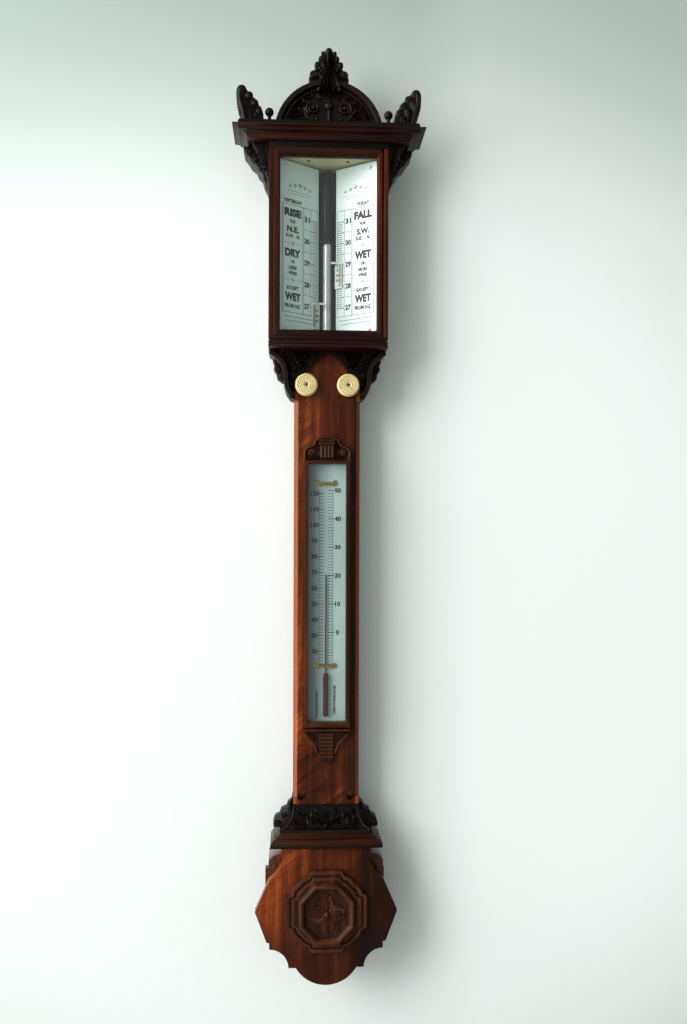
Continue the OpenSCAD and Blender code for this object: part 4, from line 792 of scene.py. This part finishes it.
def carve_skirt():
    skirt, trunk = Block("skirt"), Block("trunk")
    inner = trunk.width / 2
    c = Carving(skirt.bottom)
    sweep, high, foot, count = 14.6, 29.0, 2.0, 14

    def pull(z):
        """How far the sweep has drawn in at a height."""
        t = max(0.0, min(1.0, (z - foot) / (high - foot)))
        return sweep * math.sqrt(max(0.0, 1 - (1 - t) ** 2))

    def face(x, z):
        return trunk.front + 15 - pull(z)

    rows = []
    for k in range(count + 1):
        z = 0 if k == 0 else foot + (high - foot) * ((k - 1) / (count - 1)) ** 2
        x, d = inner + 14.8 - pull(z), face(0, z)
        rows.append([c.add(*spot, z, 0.05) for spot in ((-x, skirt.back), (-x, d), (x, d), (x, skirt.back))])
    c.bridge(rows)
    c.on(face, lambda x, z: face(x, z) - 1)
    c.bead([(-51, 1.5), (0, 1.5), (51, 1.5)], 1.5, 1.8, 30, FLAT)
    c.bead([(-36.6, high - 1.4), (0, high - 1.4), (36.6, high - 1.4)], 1.1, 1.4, 24)
    c.acanthus([(0, 5), (0, 12), (0, 20)], 6.6, 2.8, 4, 0.6)
    c.dome(0, 5.6, 2.6, 3.2)
    for c.side in (-1, 1):
        c.bead([(inner + 13.0 - pull(z), z) for z in (2, 4, 8, 14, 20, 27)], 1.0, 1.6, 20)
        c.acanthus([(2.4, 6), (8, 11), (14, 11), (17.6, 6)], 4.6, 2.6, 3, 0.4)
        c.acanthus([(24, 4), (27, 11), (25, 20)], 6.4, 2.8, 4, 0.6)
        c.acanthus([(30, 5), (35, 10), (38.6, 8)], 4.4, 2.6, 3, 0.4)
        c.stroke([(17.4, 22), (18.6, 16), (18.0, 11)], 2.2, 2.6, GOUGED)
        c.stroke([(10, 24.5), (11.6, 20), (10.6, 16)], 1.8, 2.4)
        c.stroke([(30, 25), (32.6, 20), (32, 15)], 1.8, 2.4)
    # scalloped returns at the sides
    for c.side in (-1, 1):
        c.board(from_line(inner, (0, 0), (22.6, 0), (23, 5), (21, 10.4), (15.6, 13), (13.6, 19), (7.6, 21.6),
                          (5.6, 27), (1.4, 30), (0.4, skirt.height), (0, skirt.height)),
                trunk.front - 6, skirt.back, 1.4)
        c.on(trunk.front - 6.4, skirt.back + 4)
        for x, z, r in ((17.6, 6.4, 4.9), (10.4, 15.2, 4.4), (3.2, 23.8, 3.4)):
            c.scroll(inner + x, z, r, 1.0, 60, 1.8, 1.8, 0.36)
    c.finish("skirt", sharp=50)


def carve_boss():
    box, board = Block("boss"), Block("base_front")
    half, wall, field = box.width / 2, board.front, box.front - 5
    middle = (box.top + box.bottom) / 2
    corner = ((1, 0.39), (0.875, 0.44), (0.835, 0.56), (0.56, 0.835), (0.44, 0.875), (0.39, 1))
    eight = ((1, 0.41), (0.985, 0.44), (0.97, 0.46), (0.46, 0.97), (0.44, 0.985), (0.41, 1))

    def ring(shape, size, tall):
        return [(x, z * tall) for q in range(4) for x, z in turned([(a * size, b * size) for a, b in shape], 90 * q)]

    c = Carving(middle)
    # two mouldings by their insets, depths and relief: the outer one stepped at its corners, the inner one tall
    bands = ((corner, 1.0, ((0, wall, 0.0), (0, wall + 4.0, 0.4), (1.2, wall + 5.6, 1.0), (4.6, wall + 5.6, 0.9),
                            (5.6, wall + 4.2, 0.05), (6.4, wall + 4.2, 0.05), (7.6, wall + 7.4, 0.9),
                            (9.8, wall + 8.0, 1.0), (11.6, wall + 7.6, 0.6))),
             (eight, 1.08, ((14.2, field - 3.6, 0.1), (15.2, field - 1.0, 0.15), (16.0, box.front - 1.4, 0.7),
                            (17.2, box.front, 1.0), (18.8, box.front, 1.0), (20.0, box.front - 1.6, 0.7),
                            (21.4, box.front - 2.4, 0.5), (22.4, field, 0.05))))
    c.bridge([[c.add(x, depth, z, relief) for x, z in ring(shape, half - inset, tall)]
              for shape, tall, steps in bands for inset, depth, relief in steps])
    c.finish("boss", material=BOSS_WOOD, sharp=30)
    r = Carving(middle).on(field - 0.2, field - 1)
    for angle, length, width in ((90, 22.5, 7.4), (-90, 22.5, 7.4), (4, 20.4, 8.4), (176, 20.4, 8.4)):
        r.acanthus(turned([(3, 0), (length * 0.5, 0.5), (length, 0)], angle), width, 2.6, 4, 0.6)
    for angle in (40, 140, 220, 320):
        r.stroke(turned([(3, 0), (10, 0.6), (17.8, 0)], angle), 2.9, 2.2, lift=0.4, count=9)
    r.on(field + 1.0, field - 1).dome(0, 0, 3.6, 3.6)
    r.finish("rosette", material=BOSS_WOOD)


for side, hand in SIDES:
    carve_ear(side, hand)
    carve_upper_bracket(side, hand)
    carve_lower_bracket(side, hand)
for carve in (carve_finial, carve_pediment, carve_balls, carve_crest, carve_corbel, carve_skirt, carve_boss):
    carve()


# Marks on the plates

RULE_INPUTS = (("Marks", "NodeSocketInt"), ("Start", "NodeSocketVector"), ("Step", "NodeSocketVector"),
               ("Size", "NodeSocketVector"), ("Finish", "NodeSocketMaterial"))


def make_rule_tree():
    """Geometry nodes that repeat one small bar at even steps along a line."""
    tree = bpy.data.node_groups.new("rule_marks", "GeometryNodeTree")
    for name, kind in RULE_INPUTS:
        tree.interface.new_socket(name, in_out="INPUT", socket_type=kind)
    tree.interface.new_socket("Geometry", in_out="OUTPUT", socket_type="NodeSocketGeometry")
    begin, line, bar, spread, real, finish, end = (tree.nodes.new(kind) for kind in (
        "NodeGroupInput", "GeometryNodeMeshLine", "GeometryNodeMeshCube", "GeometryNodeInstanceOnPoints",
        "GeometryNodeRealizeInstances", "GeometryNodeSetMaterial", "NodeGroupOutput"))
    for source, output, target, entry in (
            (begin, "Marks", line, "Count"), (begin, "Start", line, "Start Location"),
            (begin, "Step", line, "Offset"), (begin, "Size", bar, "Size"), (line, "Mesh", spread, "Points"),
            (bar, "Mesh", spread, "Instance"), (spread, "Instances", real, "Geometry"),
            (real, "Geometry", finish, "Geometry"), (begin, "Finish", finish, "Material"),
            (finish, "Geometry", end, "Geometry")):
        tree.links.new(source.outputs[output], target.inputs[entry])
    return tree


RULE_TREE = make_rule_tree()


def evaluated(piece):
    """The plain mesh that an object's modifiers or letters give, without the object."""
    bpy.context.scene.collection.objects.link(piece)
    bpy.context.view_layer.update()
    mesh = bpy.data.meshes.new_from_object(piece.evaluated_get(bpy.context.evaluated_depsgraph_get()))
    data = piece.data
    bpy.data.objects.remove(piece)
    (bpy.data.meshes if isinstance(data, bpy.types.Mesh) else bpy.data.curves).remove(data)
    return mesh


class Marks:
    """Fired black marks on a flat face. In millimetres, t runs to the right and z up from the face's origin."""

    THICK = 0.12

    def __init__(self, origin, right, up=(0, 0, 1)):
        right, up = Vector(right).normalized(), Vector(up).normalized()
        self.frame = Matrix.Translation(Vector(origin)) @ Matrix((right, up, right.cross(up))).transposed().to_4x4()
        self.bm = bmesh.new()

    def _take(self, mesh, move=Matrix.Identity(4)):
        mesh.transform(self.frame @ Matrix.Scale(MM, 4) @ move)
        self.bm.from_mesh(mesh)
        bpy.data.meshes.remove(mesh)

    def bars(self, count, t, z, step, width, height):
        """A row or ladder of bars: the first is centred at t, z, and each next one a step further."""
        piece = bpy.data.objects.new("bars", bpy.data.meshes.new("bars"))
        rule = piece.modifiers.new("rule", "NODES")
        rule.node_group = RULE_TREE
        values = {"Marks": count, "Start": (t, z, 0), "Step": (*step, 0), "Size": (width, height, self.THICK),
                  "Finish": INK}
        for item in RULE_TREE.interface.items_tree:
            if item.in_out == "INPUT":
                rule[item.identifier] = values[item.name]
        self._take(evaluated(piece))

    def word(self, text, t, z, size, width=None, weight=0.0):
        """Capitals of a height, centred at t, z, and squeezed or stretched to a width."""
        letters = bpy.data.curves.new("word", "FONT")
        letters.body = text
        letters.align_x, letters.align_y = "CENTER", "CENTER"
        letters.resolution_u = 3
        letters.offset = weight
        letters.extrude = self.THICK / 2
        mesh = evaluated(bpy.data.objects.new("word", letters))
        across = [v.co.x for v in mesh.vertices]
        tall = [v.co.y for v in mesh.vertices]
        high = size / (max(tall) - min(tall))
        wide = width / (max(across) - min(across)) if width else high
        middle = Vector(((max(across) + min(across)) / 2, (max(tall) + min(tall)) / 2, 0))
        place = Matrix.Translation((t, z, 0)) @ Matrix.Diagonal((wide, high, 1, 1)) @ Matrix.Translation(-middle)
        self._take(mesh, place)

    def flower(self, t, z, size):
        """A small four-petalled ornament."""
        for k in range(4):
            petal = bpy.data.meshes.new("petal")
            outline = turned([(0.06, 0), (0.4, 0.2), (1, 0), (0.4, -0.2)], 90 * k)
            corners = [(x * size + t, y * size + z, h) for h in (-self.THICK / 2, self.THICK / 2) for x, y in outline]
            petal.from_pydata(corners, [], [(3, 2, 1, 0), (4, 5, 6, 7), *((i, (i + 1) % 4, (i + 1) % 4 + 4, i + 4)
                                                                          for i in range(4))])
            self._take(petal)

    def finish(self, name, body, slot):
        mesh = bpy.data.meshes.new(name)
        self.bm.to_mesh(mesh)
        self.bm.free()
        hand_over(as_object(name, mesh, INK, 20), body, slot)


INCH = 25.4
ZERO = -842.0              # height of the scale's zero, the level of the mercury in the cistern
SCALE_LOW, SCALE_HIGH = 27, 31
CANT = math.radians(35)    # of the register plates
SLOT_HALF, SLOT_FRONT = 10.4, 26.0
WORDS_MIDDLE, PLATE_MIDDLE = 37.0, 27.0
THIN, FINE, HEAVY = 0.045, 0.05, 0.065     # the weights of numerals, small words and large words
VERNIER_INCHES = 0.95      # that a vernier's twenty parts take up
VERNIER_LIFT = 0.3 + 1.4   # its gap to the plate and its thickness


def inches(reading):
    return ZERO + reading * INCH


def plate_marks(side, lift):
    """Marks on a register plate, lifted off its face. t is 0 at the plate's inner edge and grows to the right."""
    right = Vector((math.cos(CANT), -side * math.sin(CANT), 0))
    out = Vector((-side * math.sin(CANT), -math.cos(CANT), 0))
    return Marks((Vector((side * SLOT_HALF, -SLOT_FRONT, 0)) + out * lift) * MM, right)


def mark_register_plate(side, hand, rows):
    m = plate_marks(side, Marks.THICK / 4)
    count = (SCALE_HIGH - SCALE_LOW) * 10 + 1
    m.bars(count, side * 5.4, inches(SCALE_LOW), (0, INCH / 10), 6.6, 0.62)
    m.bars(count // 5 + 1, side * 6.6, inches(SCALE_LOW), (0, INCH / 2), 9.0, 0.8)
    m.bars(4, side * 17.2, inches(SCALE_LOW + 0.5), (0, INCH), 8.4, 0.36)
    top, bottom = inches(SCALE_HIGH) + 13, inches(SCALE_LOW) - 10
    middle, tall = (top + bottom) / 2, top - bottom
    for t, width in ((1.9, 0.4), (11.6, 0.36), (21.6, 0.4), (23.2, 0.24), (50.6, 0.24), (51.8, 0.5)):
        m.bars(1, side * t, middle, (0, 0), width, tall)
    for z in (top, bottom):
        m.bars(1, side * 26.9, z, (0, 0), 50.2, 0.5)
    for reading in range(SCALE_LOW, SCALE_HIGH + 1):
        m.word(str(reading), side * 16.8, inches(reading), 6.4, 7.6, THIN)
    for text, z, size, width in rows:
        m.word(text, side * WORDS_MIDDLE, z, size, width, HEAVY if size > 7 else FINE)
    for z in (-86.4, -128.6):
        m.bars(2, side * WORDS_MIDDLE - 8.6, z, (17.2, 0), 9.0, 0.24)
        m.flower(side * WORDS_MIDDLE, z, 2.6)
    # a row of small leaves in place of a heading, and two beaded lines at the foot
    for k in range(5):
        m.flower(side * PLATE_MIDDLE + (k - 2) * 7.0, -17.0 - abs(k - 2) * 1.6, 3.6 - 0.5 * abs(k - 2))
    m.bars(9, side * PLATE_MIDDLE - 16, -25.6, (4, 0), 2.6, 0.5)
    m.bars(7, side * PLATE_MIDDLE - 12, -28.6, (4, 0), 2.6, 0.5)
    for z, n in ((bottom - 5.0, 15), (bottom - 9.6, 13)):
        m.bars(n, side * PLATE_MIDDLE - (n - 1) * 1.5, z, (3, 0), 1.8, 0.9)
    m.finish(hand + "_plate_marks", "case", "opal")


def mark_vernier(side, hand):
    first = Block(hand + "_vernier").top / MM - 2.2
    m = plate_marks(side, VERNIER_LIFT + Marks.THICK / 4)
    m.bars(21, side * 7.4, first, (0, -INCH * VERNIER_INCHES / 20), 3.4, 0.5)
    m.bars(5, side * 6.9, first, (0, -INCH * VERNIER_INCHES / 4), 4.4, 0.6)
    m.bars(1, side * 5.6, Block(hand + "_vernier").top / MM - 15, (0, 0), 0.4, 27)
    for k in (1, 2, 3):
        m.word(str(5 * k), side * 3.2, first - k * INCH * VERNIER_INCHES / 4, 3.0, None, FINE)
    m.finish(hand + "_vernier_marks", hand + "_slider", "vernier_bone")


# The words from the top down, each with its height, its letters' height and its width
for (side, hand), (day, day_width, move, wind, winds, sky, much, much_width) in zip(SIDES, (
        ("YESTERDAY", 27, "RISE", "N.E.", "N.W.   N.", "DRY", "LESS", 11),
        ("TODAY", 17, "FALL", "S.W.", "S.E.   S.", "WET", "MORE", 12))):
    mark_register_plate(side, hand, (
        (day, -37.4, 4.2, day_width), (move, -50.6, 9.4, 24), ("FOR", -60.8, 3.8, 8), (wind, -69.8, 7.0, 17),
        (winds, -77.6, 4.2, 20), (sky, -97.2, 9.4, 22), ("OR", -107.2, 3.8, 6), (much, -114.2, 4.2, much_width),
        ("WIND", -120.6, 4.2, 12), ("EXCEPT", -137.8, 4.2, 17), ("WET", -148.0, 9.4, 22),
        ("FROM N.E.", -158.6, 4.6, 22)))
for side, hand in SIDES:
    mark_vernier(side, hand)


def mark_thermometer():
    # heights of the mark for 120 and of a degree Fahrenheit, and the stem's x
    top, degree, stem = -375.4, 1.842, -1.0
    face = -(Block("thermometer_plate").front + Marks.THICK / 4) * MM
    m = Marks((stem * MM, face, 0), (1, 0, 0))
    m.bars(56, -5.2, top - 110 * degree, (0, 2 * degree), 5.6, 0.55)
    m.bars(12, -5.8, top - 110 * degree, (0, 10 * degree), 6.8, 0.8)
    m.bars(61, 5.0, top - 108 * degree, (0, 1.8 * degree), 5.2, 0.55)
    m.bars(7, 6.4, top - 106 * degree + 18 * degree, (0, 18 * degree), 7.6, 0.8)
    for side in (-1, 1):
        m.bars(1, side * 8.0, top - 55 * degree, (0, 0), 0.45, 114 * degree)
    for k in range(11):
        m.word(str(120 - 10 * k), -13.2, top - 10 * k * degree, 5.6, None, THIN)
    for k in range(6):
        m.word(str(10 * k), 13.8, top - (88 - 18 * k) * degree, 5.6, None, THIN)
    for side, letter in ((-1, "F"), (1, "C")):
        m.word(letter, side * 10.6, top + 12.4, 6.0, None, 0.03)
    m.finish("thermometer_marks", "case", "opal")
    for side, text, z in ((-1, "FAHRENHEIT", -0.6205), (1, "CENTIGRADE", -0.6165)):
        label = Marks(((stem + side * 10.4) * MM, face, z), (0, 0, 1), (-1, 0, 0))
        label.word(text, 0, 0, 3.0, 34, FINE)
        label.finish(text.lower() + "_name", "case", "opal")


mark_thermometer()


# Turned pieces

def turned_piece(name, profile, places, body, slot, material, *nodes, axis=(0, -1, 0), count=28):
    """Rings of a profile of radius and height in millimetres, stood on the places along an axis."""
    turn = Vector((0, 0, 1)).rotation_difference(Vector(axis)).to_matrix()
    points, faces = [], []
    for place in places:
        rows = []
        for r, h in profile:
            rows.append(range(len(points), len(points) + count))
            points += [(Vector(place) + turn @ Vector((r * c, r * s, h))) * MM for c, s in circle(count)]
        faces += skin(rows)
    mesh = bpy.data.meshes.new(name)
    mesh.from_pydata(points, [], faces)
    hand_over(as_object(name, mesh, material, 40), body, slot, *nodes)


def make_stem():
    """The thermometer's stem as one clear rod, so that its plate and its thread show through it."""
    corners = [v.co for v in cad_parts["thermometer_tube"].data.vertices]
    (left, front, low), (right, back, high) = ([pick(c[k] for c in corners) / MM for k in range(3)]
                                               for pick in (min, max))
    foot, radius, tall = ((left + right) / 2, (front + back) / 2, low), (right - left) / 2 - 0.03, high - low
    profile = ((radius * 0.7, 0.05), (radius, 0.6), (radius, tall - 0.8), (radius * 0.6, tall - 0.05))
    turned_piece("thermometer_stem", profile, [foot], "case", "tube_glass", STEM_GLASS, "thermometer_tube",
                 axis=(0, 0, 1), count=24)


make_stem()
for _, hand in SIDES:
    knob = Block(hand + "_knob")
    x, y, z = (knob.left + knob.right) / 2 / MM, -(knob.front - 2.2), (knob.bottom + knob.top) / 2 / MM
    # the knob's ivory eye, and its hole as a near-black disc of painted shade
    for part, depth, profile, material in (("eye", 0, ((2.4, 0), (2.4, 1.0), (2.0, 1.4), (1.6, 1.4)), IVORY),
                                           ("hole", 1.25, ((1.55, 0), (1.55, 0.25), (1.2, 0.3)), DARK)):
        turned_piece(hand + "_knob_" + part, profile, [(x, y - depth, z)], hand + "_setting", "ivory", material)
ceiling = Block("head_ceiling")
turned_piece("ceiling_screws", ((2.0, 0), (2.0, 0.5), (1.5, 0.9), (0.5, 1.1)),
             [(x, -47.7, ceiling.bottom / MM) for x in (-23, 23)], "case", "brass", STEEL_DARK,
             axis=(0, 0, -1), count=16)


def make_leather_bag():
    """A soft gathered bag under the cistern, tied round its rim and pleated towards its foot."""
    bag = Block("leather_bag")
    low, high = bag.bottom / MM, bag.top / MM
    centre, pleats, count = -24.0, 11, 66
    rows, points = [], []
    for r, h in ((0.2, 0.25), (5.6, 0.0), (8.4, 0.6), (11.6, 2.0), (13.4, 3.8), (13.7, 5.2), (12.9, 6.0), (13.8, 6.6),
                 (13.8, high - low)):
        rows.append(range(len(points), len(points) + count))
        pleat = math.sin(math.pi * min(1, h / 5.6))
        for k in range(count):
            angle = math.tau * k / count
            reach = r + (0.45 * math.cos(pleats * angle) * pleat - 0.45 * pleat)
            points.append((reach * math.cos(angle) * MM, (centre + reach * math.sin(angle)) * MM, (low + h) * MM))
    mesh = bpy.data.meshes.new("gathered_bag")
    mesh.from_pydata(points, [], skin(rows))
    piece = hand_over(as_object("gathered_bag", mesh, LEATHER, 60), "case", "leather", "leather_bag")
    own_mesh(piece)


make_leather_bag()


# Other pieces and the CAD's own

EDGE = 0.5 * MM            # the usual round-over of the case's arrises

for node, material, share, body in (
        ("trunk", TRUNK_WOOD, 1, "case"), ("backboard", CASE_WOOD, 1, "case"), ("head_sides", HEAD_WOOD, 1, "case"),
        ("head_floor", RAIL_WOOD, 0.7, "case"), ("cornice", RAIL_WOOD, 0.6, "case"),
        ("base_front", BASE_WOOD, 1.4, "case"), ("base_box", BOX_WOOD, 1, "case"),
        ("base_mould", RAIL_WOOD, 0.7, "case"), ("door_frame", DOOR_WOOD, 0.7, "door"),
        ("thermometer_frame", FRAME_WOOD, 0.6, "case")):
    softened(node, material, EDGE * share, body)
two_faced_ceiling()
dress(HEAD_WOOD, "glazing_bead", "plate_blocks")
dress(CARVED_WOOD, "blocking")
dress(OPAL, "left_plate", "right_plate")
dress(GREY_SHADED_OPAL, "thermometer_plate")
dress(IVORY, "left_knob", "right_knob")
dress(BONE, "left_vernier", "right_vernier", "plate_screws")
dress(BRASS, "hanger_plate", "hanger_screws", "door_pins", "rack_guides",
      "spindle_bushes", "portable_screw", "left_rack", "right_rack", "left_pinion", "right_pinion")
dress(STEEL_DARK, "trunk_screws")
dress(BRIGHT_BRASS, "thermometer_clips")
dress(PANE, "door_glass", "thermometer_glass")
dress(TUBE_GLASS, "barometer_tube")
dress(QUICKSILVER, "mercury")
dress(SPIRIT, "thermometer_spirit")
dress(BOXWOOD, "cistern", "portable_pad")
dress(CORK, "tube_saddles")


# Stage, light and camera

IMAGE_HEIGHT = 1024
FOCAL_PIXELS = 952.5
HORIZON_PIXELS = 36        # of the eye's level below the image's centre
LONG_SIDE = 36             # of the sensor, in millimetres
EYE = Vector((-0.043, -1.153, -0.439))
TURN_RIGHT = 3.22          # of the line of sight from the wall's normal, in degrees
LEAN = 0.19                # of the photograph against the plumb line, in degrees
MIDDLE = (0, 0, -0.42)     # of the object, where the lamps look
DAYLIGHT = (0.98, 0.99, 1.0)


def make_camera():
    data = bpy.data.cameras.new("camera")
    data.sensor_fit = "AUTO"
    data.sensor_width = LONG_SIDE
    data.lens = FOCAL_PIXELS * LONG_SIDE / IMAGE_HEIGHT
    data.shift_y = HORIZON_PIXELS / IMAGE_HEIGHT
    camera = bpy.data.objects.new("camera", data)
    bpy.context.scene.collection.objects.link(camera)
    level = Matrix.Rotation(math.radians(-TURN_RIGHT), 4, "Z") @ Matrix.Rotation(math.radians(90), 4, "X")
    camera.matrix_world = Matrix.Translation(EYE) @ level @ Matrix.Rotation(math.radians(LEAN), 4, "Z")
    bpy.context.scene.camera = camera


def area_light(name, place, size, power, tint=(1, 1, 1)):
    """A soft lamp that looks at the object's middle."""
    data = bpy.data.lights.new(name, "AREA")
    data.shape = "RECTANGLE"
    data.size, data.size_y = size
    data.energy = power
    data.color = tint
    lamp = bpy.data.objects.new(name, data)
    bpy.context.scene.collection.objects.link(lamp)
    direction = Vector(MIDDLE) - Vector(place)
    lamp.matrix_world = Matrix.Translation(place) @ direction.to_track_quat("-Z", "Y").to_matrix().to_4x4()
    return lamp


def make_world():
    """A dim room that is brighter towards the window, with the bright wall behind the object."""
    f = Finish("room", bpy.data.worlds.new("room"))
    bpy.context.scene.world = f.material
    way = f.node("ShaderNodeTexCoord", output="Generated")
    x, y = (f.node("ShaderNodeSeparateXYZ", None, {0: way}, axis) for axis in "XY")
    room = 0.85 - x.spread(-0.9, 0.1) * 0.5
    wall = 1.0 - x.spread(-0.1, 0.12) * 0.7
    behind = y.spread(-0.1, 0.15)
    level = room * (1 - behind) + wall * behind
    seen, through = (f.node("ShaderNodeLightPath", None, None, ray) for ray in ("Is Camera Ray", "Is Transmission Ray"))
    ambient = f.node("ShaderNodeBackground", None, {"Color": (0.9, 1.0, 0.95, 1), "Strength": level})
    backdrop = f.node("ShaderNodeBackground", None, {"Color": (0.93, 0.97, 0.96, 1), "Strength": 1.0})
    f.out(f.node("ShaderNodeMixShader", None, {"Fac": seen.highest(through), 1: ambient, 2: backdrop}),
          "ShaderNodeOutputWorld")


def make_wall():
    """The pale surface behind the object, with painted shade away from its middle and towards its top, and a painted
    glow to the object's right. It shows from its front only, and lets light through.
    """
    half, gap = 6.0, 0.0004
    mesh = bpy.data.meshes.new("wall")
    mesh.from_pydata([(-half, gap, -half), (half, gap, -half), (half, gap, half), (-half, gap, half)],
                     [], [(0, 1, 2, 3)])
    f = Finish("pale_wall")
    speckle = f.noise(f.place((70, 70, 70)), 1.0, 4.0)
    away = f.node("ShaderNodeVectorMath", {"operation": "DISTANCE"}, {0: f.place(), 1: (0.0, 0.0, -0.56)}, "Value")
    edge = away.spread(0.42, 0.88)
    side, high = f.axis("X"), f.axis("Z")
    # painted shade: the wall darkens away from the object's middle and towards its top
    base = f.mix(edge, f.mix(speckle, colour("f4f8f5"), colour("fafcfb")), colour("c8d1cc"))
    base = f.mix(high.spread(-0.08, 0.3) * 0.75, base, colour("9fa9a3"))
    # painted light: a glow mixed into the wall to the object's right, fading outwards and downwards
    lit = side.spread(0.09, 0.2) * (1 - side.spread(0.45, 1.2)) * (1 - edge * 0.8) * (1 - high.spread(-0.8, -1.3))
    matt = f.node("ShaderNodeBsdfDiffuse", None, {"Color": base})
    glow = f.node("ShaderNodeEmission", None, {"Color": (0.96, 0.99, 0.97, 1), "Strength": 1.0})
    matt = f.node("ShaderNodeMixShader", None, {"Fac": lit * 0.6, 1: matt, 2: glow})
    gone = f.node("ShaderNodeBsdfTransparent")
    ray = f.node("ShaderNodeLightPath", None, None, "Is Camera Ray")
    back = f.node("ShaderNodeNewGeometry", None, None, "Backfacing")
    f.out(f.node("ShaderNodeMixShader", None, {"Fac": ray * (1 - back), 1: gone, 2: matt}))
    as_object("wall", mesh, f.material)


make_camera()
make_world()
make_wall()
area_light("window", (-1.75, -1.45, 0.3), (1.2, 1.9), 50, DAYLIGHT)
area_light("side_window", (-2.3, -0.55, -0.1), (0.7, 1.9), 34, DAYLIGHT)
area_light("back_fill", (0.3, 1.8, 0.4), (2.0, 2.0), 16).visible_glossy = False
bpy.context.scene.view_settings.view_transform = "Standard"
